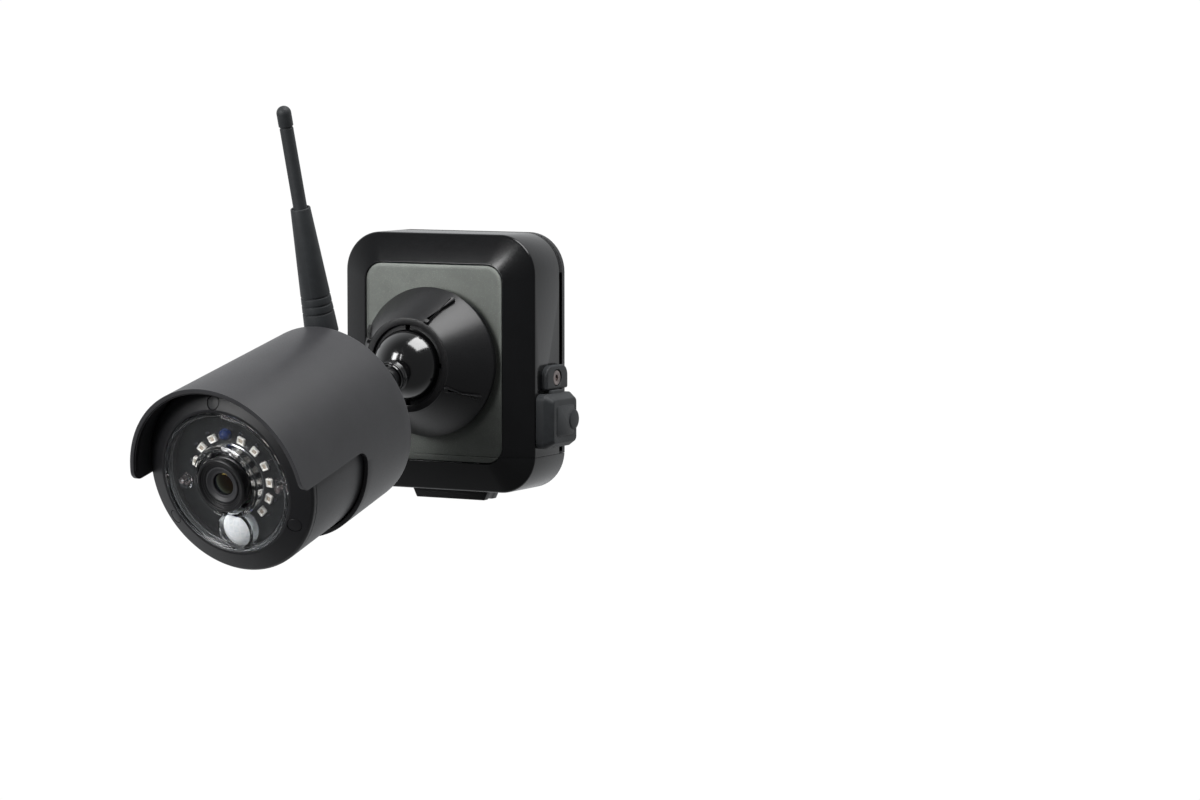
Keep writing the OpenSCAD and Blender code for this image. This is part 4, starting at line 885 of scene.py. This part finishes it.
def sunshade():
    """Sleeve around the barrel; underneath it is cut away, so that a visor reaches forward."""
    back, front = shade_low.z, shade_high.z
    r_back = reach("sunshade", HEAD, back + 1, back + 3)[1]
    r_front = reach("sunshade", HEAD, front - 1, front)[1]
    beside = [p.z for p in local_points("sunshade", HEAD) if abs(p.x) > 34 and abs(p.y) < 10]
    cut = min(z for z in beside if z > back + 20)
    thick, top, corner, visor_corner, roll = 1.6, 0.4, 5.0, 4.0, 1.6
    across, under = 120, 100
    bm = bmesh.new()

    def radius(s):
        return r_back + (r_front - r_back) * (s - back) / (front - back)

    def ring(s, edge_y, drop):
        """Points around the sleeve at s; ahead of the cut only those above the side edges."""
        r = radius(s) - drop
        edge = math.asin(edge_y / r)
        turns = [edge + (math.pi - 2 * edge) * k / across for k in range(across + 1)]
        if s <= cut + 1e-6:
            turns += [math.pi - edge + (math.pi + 2 * edge) * k / under for k in range(1, under)]
        return [bm.verts.new((r * math.cos(t), r * math.sin(t), s)) for t in turns]

    def quads(a, b):
        count = min(len(a), len(b))
        for k in range(count if count > across + 1 else across):
            n = (k + 1) % count
            bm.faces.new((a[k], a[n], b[n], b[k]))

    quarter = [TAU / 4 * k / 10 for k in range(11)]
    start, bend, straight = back + 2.0, cut + corner, front - visor_corner
    edge_line = [(start + (cut - start) * k / 8, top - corner) for k in range(8)]
    edge_line += [(bend - corner * math.cos(t), top - corner + corner * math.sin(t)) for t in quarter]
    edge_line += [(bend + (straight - bend) * k / 10, top) for k in range(1, 11)]
    edge_line += [(straight + visor_corner * math.sin(t), top + visor_corner * (1 - math.cos(t)))
                  for t in quarter[1:]]
    curl = [TAU / 4 * (1 - k / 6) for k in range(6)]
    outer = [ring(back + 0.05 + roll * (1 - math.sin(t)), top - corner, roll * (1 - math.cos(t))) for t in curl]
    outer += [ring(s, y, 0.0) for s, y in edge_line]
    inner = [ring(back + 0.6, top - corner, thick)] + [ring(s, y, thick) for s, y in edge_line]
    rims = []
    for skin in (outer, inner):
        for a, b in zip(skin, skin[1:]):
            quads(a, b)
        seam = sum(len(row) > across + 1 for row in skin) - 1
        left = [row[across] for row in skin[seam:]]
        right = [row[0] for row in skin[seam:]]
        rims.append(skin[-1][1:across] + left[::-1] + skin[seam][across + 1:] + right)
    quads(outer[0], inner[0])
    for k in range(len(rims[0])):
        n = (k + 1) % len(rims[0])
        bm.faces.new((rims[0][k], rims[0][n], rims[1][n], rims[1][k]))
    screw_s = centre("shade_screws", HEAD).z
    hole = moved(rod(2.7, -45, 0.7 - radius(screw_s), 0, 48), shifted(0, 0, screw_s) @ turned(-90, "X"))
    piece("shade_sleeve", outward(bm), HEAD, "head", "shade_paint", ["sunshade"], cuts=[hole], bevel=0.4)
    lip_bead(r_front, front, top, thick)


def lip_bead(r_front, front, top, thick):
    """Inner bead that follows the visor's front edge."""
    section = rounded([(0.0, -0.45, 0.15), (0.9, -0.45, 0.15), (0.9, -2.4, 0.3), (0.0, -2.7, 0.15)], True, 3)
    section = [(r_front - thick + 0.35 - inward, front + s) for inward, s in section]
    start = math.asin((top + 4.2) / r_front)
    steps = 110
    rings = []
    for k in range(steps + 1):
        t = start + (math.pi - 2 * start) * k / steps
        rings.append([(r * math.cos(t), r * math.sin(t), s) for r, s in section])
    piece("visor_bead", loft(rings), HEAD, "head", "shell_satin")


BEZEL_FALL = 0.42
BEZEL_BORE = 26.2
PLUG_R = 2.56


def front_bezel():
    """Grained front ring with three holes for the screw plugs."""
    back, nose = bezel_low.z, bezel_high.z
    outer = reach("front_bezel", HEAD)[1]
    inner = window_high.x + 0.15
    seat = back + 2.1
    body = spun([
        (BEZEL_BORE, back, 0), (outer, back, 0.3), (outer, back + 1.8, 0.9), (outer - 0.8, back + 2.7, 1.2),
        (inner + 1.1, nose, 0.6), (inner, nose, 0.3), (inner, seat, 0), (BEZEL_BORE, seat, 0),
    ], 5, 192, True)
    cuts = [moved(rod(PLUG_R + 0.16, back + 1.6, nose + 2, 0, 56), turned(turn) @ shifted(PLUG_AT, 0, 0))
            for turn in PLUG_TURNS]
    piece("bezel_ring", body, HEAD, "head", "bezel_grain", ["front_bezel"], cuts=cuts)


def bezel_plugs():
    """Round plugs that follow the bezel's slope, a hair below it."""
    back = bezel_high.z - 2.8
    top = bezel_high.z - BEZEL_FALL * (PLUG_AT - window_high.x - 1.25) - 0.12
    parts = []
    for turn in PLUG_TURNS:
        plug = spun([(0, back, 0), (PLUG_R, back, 0.1), (PLUG_R, top, 0.28), (0, top + 0.05, 0)], 4, 56)
        for v in plug.verts:
            if v.co.z > back + 0.3:
                v.co.z -= BEZEL_FALL * v.co.x
        parts.append(moved(plug, turned(turn) @ shifted(PLUG_AT, 0, 0)))
    piece("screw_plugs", merged(*parts), HEAD, "head", "bezel_grain", ["bezel_plugs"])


def window():
    """One clear moulding: raised rim, thin plate and the tubes around the lens and the motion sensor."""
    rim_out = window_high.x
    rim_in = rim_out - 1.4
    foot = bezel_low.z + 2.7
    rim_top = window_high.z - 0.4
    plate = rim_top - 1.8
    tube_top = rim_top + 0.35
    face = plate + 1.2
    lens_in, lens_out = 12.2, 13.4
    low = window_low.z
    body = spun([
        (rim_out, foot, 0.1), (rim_out, rim_top - 0.5, 0.3), (rim_out - 0.35, rim_top, 0.3),
        (rim_in + 0.3, rim_top, 0.25), (rim_in, rim_top - 0.9, 0.25), (rim_in - 1.3, face, 0.3),
        (lens_out + 0.9, face, 0.25), (lens_out, plate + 1.7, 0.25), (lens_out, tube_top, 0.3),
        (lens_in, tube_top, 0.3), (lens_in, low, 0.15), (lens_out, low, 0.15), (lens_out, plate, 0.2),
        (rim_in - 0.5, plate, 0.4), (rim_in - 0.3, foot, 0.1),
    ], 3, SEGMENTS, True)
    up = clusters("pir_lens", HEAD)[0][1]
    eye = reach("pir_lens", HEAD @ shifted(0, up * MM, 0))[1]
    end = plate + 0.6
    tube = spun([(0, low, 0), (eye + 1.2, low, 0.15), (eye + 1.2, end, 0.3), (0, end, 0)], 3, 96)
    bore = rod(eye + 0.2, low - 1, rim_top + 2, 0, 96)
    lens_bore = rod(lens_in + 0.03, low - 1, rim_top + 3, 0, SEGMENTS)
    piece("clear_window", body, HEAD, "head", "clear_cover", ["window"], joins=[moved(tube, shifted(0, up, 0))],
          cuts=[moved(bore, shifted(0, up, 0)), lens_bore], sharp=math.radians(28))


def led_packages():
    """White lamp packages with a square beige well, a die and solder beads on the black board."""
    bodies, wells, beads, bits = [], [], [], []
    half = 1.55
    layers = [(half, 0.0, 0.25), (half, 1.05, 0.25), (half - 0.12, 1.25, 0.22), (half - 0.42, 1.27, 0.2),
              (half - 0.52, 1.15, 0.2), (half - 0.7, 0.72, 0.3)]
    for x, y in clusters("ir_leds", HEAD):
        at = shifted(x, y, board_top) @ turned(math.degrees(math.atan2(y, x)))
        bodies.append(moved(loft([rect_ring(2 * w, 2 * w, r, z, 4) for w, z, r in layers]), at))
        wells.append(moved(block((-0.83, -0.83, 0.6), (0.83, 0.83, 0.8), 0.25, 0.06), at))
        wells.append(moved(block((-0.3, -0.3, 0.78), (0.3, 0.3, 0.94), 0.05, 0.04), at))
        for side in (-1, 1):
            for along in (-0.8, 0.8):
                bead = lathe([Vector((0, 0.05))] + crown(0.05, 0.36, 0, 5), False, 16)
                beads.append(moved(bead, at @ shifted(along, side * (half + 0.1), 0)))
        chip_at = at @ shifted(half + 1.35, 0.9, 0) @ turned(70)
        bits.append(moved(block((-0.5, -0.28, 0), (0.5, 0.28, 0.42), 0.08, 0.08), chip_at))
        for near, far in ((-0.68, -0.44), (0.44, 0.68)):
            beads.append(moved(block((near, -0.26, 0), (far, 0.26, 0.36), 0.06, 0.06), chip_at))
    piece("lamp_packages", merged(*bodies), HEAD, "head", "led_body", ["ir_leds"])
    piece("lamp_wells", merged(*wells), HEAD, "head", "led_body", look="lamp_well")
    piece("solder_beads", merged(*beads), HEAD, "head", "screw_steel")
    piece("board_resistors", merged(*bits), HEAD, "head", "chip_black")


def status_lamps():
    """Two clear domed lamps with their lead frames inside."""
    top = span("status_leds", HEAD)[1].z
    r = 2.5
    flange = board_top + 0.8
    cup = [(0, 1.5, 0), (0.7, 1.5, 0.1), (0.95, 2.1, 0.05), (0.8, 2.1, 0.05), (0.5, 1.75, 0), (0, 1.75, 0)]
    domes, leads = [], []
    for x, y in clusters("status_leds", HEAD):
        base = rounded([(0, board_top, 0), (r + 0.4, board_top, 0.1), (r + 0.4, flange, 0.15),
                        (r, flange + 0.05, 0.1)], False, 3)
        domes.append(moved(lathe(base + crown(top - r, r, 0, 14), False, 64), shifted(x, y, 0)))
        at = shifted(x, y, board_top + 0.3) @ turned(25 if x > 0 else -35)
        leads.append(moved(block((-1.5, -0.3, 0), (-0.2, 0.3, 1.7), 0.1, 0.08), at))
        leads.append(moved(block((0.35, -0.25, 0), (1.1, 0.25, 2.2), 0.1, 0.08), at))
        leads.append(moved(spun(cup, 2, 24), at @ shifted(-0.8, 0, 0)))
    piece("indicator_domes", merged(*domes), HEAD, "head", "led_clear", ["status_leds"])
    piece("indicator_leads", merged(*leads), HEAD, "head", "screw_steel")


def light_sensor():
    """Dark blue domed light sensor."""
    low, high = span("light_sensor", HEAD)
    r = (high.x - low.x) / 2
    bm = spun([(0, low.z, 0), (r, low.z, 0.1), (r, low.z + 0.7, 0.1), (r - 0.25, low.z + 0.75, 0.1),
               (r - 0.25, high.z - 1.4, 1.4), (0.9, high.z, 0.9), (0, high.z, 0)], 8, 72)
    bm = moved(bm, shifted(*clusters("light_sensor", HEAD)[0], 0))
    piece("dusk_sensor", bm, HEAD, "head", "sensor_filter", ["light_sensor"])


def pir_lens():
    """Milky dome of the motion sensor, moulded in rings of small lens facets."""
    low, high = span("pir_lens", HEAD)
    r = (high.x - low.x) / 2
    dome_r, rows, depth = 9.0, 3.0, 0.028
    top = crown(high.z - dome_r, dome_r, math.degrees(math.acos((r - 0.1) / dome_r)), 30)
    foot = rounded([(0, low.z, 0), (r, low.z, 0.1), (r, top[0].y - 0.15, 0.1)], False, 3)
    bm = lathe(foot + top, False, 120)
    for v in bm.verts:
        out = math.hypot(v.co.x, v.co.y)
        if v.co.z > top[0].y - 0.01 and out > 0.01:
            ring = out / r * rows
            count = 6 * max(1, round(ring + 0.3))
            cell = math.cos(math.atan2(v.co.y, v.co.x) * count) * 0.5 + math.cos(ring * TAU) * 0.5
            v.co.z -= depth * (1 - cell) * min(1.0, ring)
    bm = moved(bm, shifted(*clusters("pir_lens", HEAD)[0], 0))
    piece("motion_dome", bm, HEAD, "head", "pir_white", ["pir_lens"], sharp=math.radians(60))


def camera_lens():
    """Lens: stepped outer barrel, pale iris ring, coated front glass and a second glass behind it, drawn in opaque
    black polish as painted shade of the lens inside.
    """
    low, high = span("lens_barrel", HEAD)
    outer, front, back = high.x, high.z, low.z
    bore, stem, waist, groove = 3.6, 7.9, outer - 0.8, outer - 0.35
    iris_low, iris_high = span("lens_ring", HEAD)
    iris, face = iris_high.x, iris_high.z
    body = spun([
        (bore, back, 0.1), (stem, back, 0.2), (stem, back + 8.3, 0.1), (waist, back + 8.3, 0.2),
        (waist, front - 5.2, 0.15), (groove, front - 5.0, 0.1), (groove, front - 4.2, 0.1),
        (waist, front - 4.0, 0.15), (waist, front - 3.1, 0.15), (outer, front - 2.6, 0.3),
        (outer, front - 0.5, 0.4), (outer - 0.5, front, 0.3), (outer - 1.1, front, 0.25),
        (outer - 1.45, front - 0.8, 0.25), (outer - 1.9, front - 0.85, 0.1), (outer - 2.1, front - 1.15, 0.1),
        (iris + 0.75, front - 1.2, 0.1), (iris + 0.6, front - 1.45, 0.1), (iris + 0.05, front - 1.5, 0.1),
        (iris + 0.05, front - 3, 0), (bore, front - 3, 0.1),
    ], 3, SEGMENTS, True)
    piece("lens_body", body, HEAD, "head", "mount_black", ["lens_barrel"])
    glass_low, glass_high = span("front_lens", HEAD)
    glass = glass_high.x
    ring = spun([
        (glass + 0.02, iris_low.z, 0), (iris, iris_low.z, 0), (iris, face, 0.2), (iris - 0.5, face + 0.05, 0.2),
        (iris - 0.7, face - 0.12, 0.1), (glass + 0.9, face - 0.75, 0.1), (glass + 0.02, face - 0.9, 0.1),
    ], 3, SEGMENTS, True)
    piece("iris_ring", ring, HEAD, "head", "inner_plastic", ["lens_ring"])
    crown_r, edge = 9.5, glass - 0.15
    top = crown(glass_high.z - crown_r, crown_r, math.degrees(math.acos(edge / crown_r)), 16)
    foot = glass_low.z
    base = [(0, foot + 0.35), (glass * 0.6, foot + 0.2), (edge, foot), (glass, foot + 0.1),
            (glass, top[0].y - 0.12)]
    glass_bm = lathe([Vector(p) for p in base] + top, False, 96)
    piece("front_glass", glass_bm, HEAD, "head", "lens_glass", ["front_lens"])
    inner = crown(foot - 4.2, 3.9, 35, 12)
    inner = [Vector((0, foot - 3)), Vector((inner[0].x, foot - 3))] + inner
    # Painted shade: the second glass is opaque black polish, standing in for the dark inside of the lens.
    piece("inner_glass", lathe(inner, False, 64), HEAD, "head", "mount_black", look="ball_gloss")


# ---------- Antenna (ANTENNA: from the fold hinge, z up along the antenna) ----------

def antenna():
    """Ribbed sleeve, whip and tip, with the tongue that folds in the knuckle."""
    tip = span("antenna_body", ANTENNA)[1].z
    foot_r = max(math.hypot(p.x, p.y) for p in local_points("antenna_body", ANTENNA) if p.z > 5.5)
    foot, top, top_r, whip_r = 6.0, 56.0, 3.8, 2.65
    slope = (foot_r - top_r) / (top - foot)
    points = [(0, foot, 0), (foot_r, foot, 0.5)]
    for z in (14.4, 17.6, 20.8):
        r = foot_r - slope * (z - foot)
        points += [(r, z, 0.15), (r - 0.4, z + 0.1, 0.1), (r - 0.4, z + 0.7, 0.1), (r - 0.02, z + 0.8, 0.15)]
    points += [(top_r, top, 0.3), (whip_r + 0.5, top, 0.15), (whip_r + 0.45, top - 0.6, 0.05),
               (whip_r, top - 0.6, 0.05)]
    cap = tip - 8.5
    tip_r = whip_r + 0.15
    points += [(whip_r - 0.05, cap - 0.2, 0.1), (whip_r - 0.3, cap, 0.05), (whip_r - 0.3, cap + 0.6, 0.05),
               (tip_r, cap + 0.7, 0.15), (tip_r, tip - 3, 0)]
    mast = lathe(rounded(points, False, 3) + crown(tip - tip_r, tip_r, 0, 12), False, 96)
    half, eye_r, pin_r = 2.8, 5.1, 1.52
    eye = spun([(pin_r, -half, 0.1), (eye_r, -half, 0.5), (eye_r, half, 0.5), (pin_r, half, 0.1)], 4, 64, True)
    tongue = block((-2.7, -3.05, 2.6), (2.7, 3.05, foot + 1), 0.4, 0.3)
    piece("antenna_mast", mast, ANTENNA, "antenna", "rubber_trim", ["antenna_body"],
          joins=[tongue, moved(eye, turned(90, "Y"))])


def antenna_knuckle():
    """Knurled connector nut with the two ears that hold the antenna's pin."""
    jack = centre("antenna_jack", HEAD)
    top = span("antenna_knuckle", HEAD)[1].z
    s = (HEAD.inverted() @ Vector(JOINTS["antenna_fold"]["pos_m"])).z / MM
    nut_r, nut_foot, pin_r, ear_r = 4.9, s + 3.6, 1.5, 5.2
    nut = spun([(0, nut_foot, 0), (nut_r, nut_foot, 0.3), (nut_r, top, 0.5), (3.3, top, 0.2),
                (3.26, s + 4.4, 0), (0, s + 4.4, 0)], 3, 96)
    for v in nut.verts:
        if math.hypot(v.co.x, v.co.y) > 4.5:
            grip = 1 - 0.03 * (1 + math.cos(24 * math.atan2(v.co.y, v.co.x))) / 2
            v.co.x *= grip
            v.co.y *= grip
    parts = [nut]
    for near, far, edge in ((-5.9, -2.95, 0.2), (2.95, 5.9, 0.6)):
        ear = spun([(pin_r, near, 0.1), (ear_r, near, 0.2), (ear_r, far, edge), (pin_r, far, 0.1)], 3, 64, True)
        web = block((near, -5.1, s + 0.2), (far, 5.1, s + 5.4), 0.8, 0.5)
        parts += [moved(ear, shifted(0, 0, s) @ turned(90, "Y")), web]
    parts = moved(merged(*parts), shifted(jack.x, jack.y, 0))
    piece("antenna_clevis", parts, HEAD, "antenna_base", "rubber_trim", ["antenna_knuckle"])


front_shell()
battery_cap()
cap_spigot()
panel("front_plate", "front_panel", 1, "pack", panel_low.y)
panel("end_cap_plate", "cap_trim", -1, "battery", trim_high.y)
back_cover()
release_latch()
port_cap()
port_anchor()
port_screw()
clamp_collar()
ball()
neck()
rear_cap()
barrel()
sunshade()
front_bezel()
bezel_plugs()
window()
led_packages()
status_lamps()
light_sensor()
pir_lens()
camera_lens()
antenna()
antenna_knuckle()


# ---------- Stage, light and camera ----------

CAMERA_AT = Vector((0.8202, -1.4319, 0.1280))
CAMERA_LOOK = Vector((-0.4677, 0.8795, -0.0877))
LENS = 123.48
FLOOR_Z = -0.32
BACKDROP = 1.02


def studio_world():
    """White studio all round, dimmer on the photographer's side; the camera itself sees plain white."""
    world = bpy.data.worlds.new("studio")
    world.use_nodes = True
    tree = world.node_tree
    tree.nodes.clear()
    kinds = ("OutputWorld", "Background", "Background", "MixShader", "LightPath", "TexCoord", "VectorMath",
             "MapRange")
    out, seen, lit, mixer, rays, ways, facing, falloff = [tree.nodes.new("ShaderNode" + kind) for kind in kinds]
    facing.operation = "DOT_PRODUCT"
    facing.inputs[1].default_value = -CAMERA_LOOK
    falloff.interpolation_type = "SMOOTHSTEP"
    for key, value in (("From Min", -0.75), ("From Max", 0.35), ("To Min", 0.72), ("To Max", 0.12)):
        falloff.inputs[key].default_value = value
    seen.inputs["Color"].default_value = (1, 1, 1, 1)
    seen.inputs["Strength"].default_value = BACKDROP
    lit.inputs["Color"].default_value = (0.97, 0.985, 1.0, 1)
    for source, target in (
        (ways.outputs["Generated"], facing.inputs[0]),
        (facing.outputs["Value"], falloff.inputs["Value"]),
        (falloff.outputs["Result"], lit.inputs["Strength"]),
        (rays.outputs["Is Camera Ray"], mixer.inputs[0]),
        (lit.outputs["Background"], mixer.inputs[1]),
        (seen.outputs["Background"], mixer.inputs[2]),
        (mixer.outputs["Shader"], out.inputs["Surface"]),
    ):
        tree.links.new(source, target)
    bpy.context.scene.world = world


def pale_floor():
    """Wide white floor well below the camera; it reads as the same white as the backdrop."""
    bm = bmesh.new()
    bmesh.ops.create_grid(bm, x_segments=8, y_segments=8, size=6000)
    floor = solid("studio_floor", bm, Matrix.Translation((0, 0, FLOOR_Z)))
    n = Nodes("studio_floor")
    glow = n.add("ShaderNodeEmission")
    glow.inputs["Strength"].default_value = BACKDROP
    split_rays(n, "Is Camera Ray", n.add("ShaderNodeBsdfTransparent").outputs["BSDF"], glow.outputs["Emission"])
    n.tree.nodes.remove(n.shader)
    floor.data.materials.append(n.material)


def softbox(name, towards, distance, width, height, watts, target=(0, -0.06, 0)):
    """Area lamp at a distance from the object, in the direction given, aimed at it."""
    lamp = bpy.data.lights.new(name, "AREA")
    lamp.shape = "RECTANGLE"
    lamp.size = width
    lamp.size_y = height
    lamp.energy = watts
    obj = bpy.data.objects.new(name, lamp)
    way = Vector(towards).normalized()
    obj.location = Vector(target) + way * distance
    obj.rotation_euler = way.to_track_quat("Z", "Y").to_euler()
    bpy.context.scene.collection.objects.link(obj)


def camera():
    data = bpy.data.cameras.new("camera")
    data.sensor_width = 36
    data.lens = LENS
    obj = bpy.data.objects.new("camera", data)
    obj.location = CAMERA_AT
    obj.rotation_euler = CAMERA_LOOK.to_track_quat("-Z", "Y").to_euler()
    bpy.context.scene.collection.objects.link(obj)
    bpy.context.scene.camera = obj


studio_world()
pale_floor()
softbox("overhead_box", (0.384, -0.037, 0.922), 1.1, 0.8, 0.75, 12)
softbox("front_box", (-0.305, -0.886, 0.349), 1.5, 0.75, 0.75, 19)
camera()
bpy.context.scene.view_settings.view_transform = "Standard"
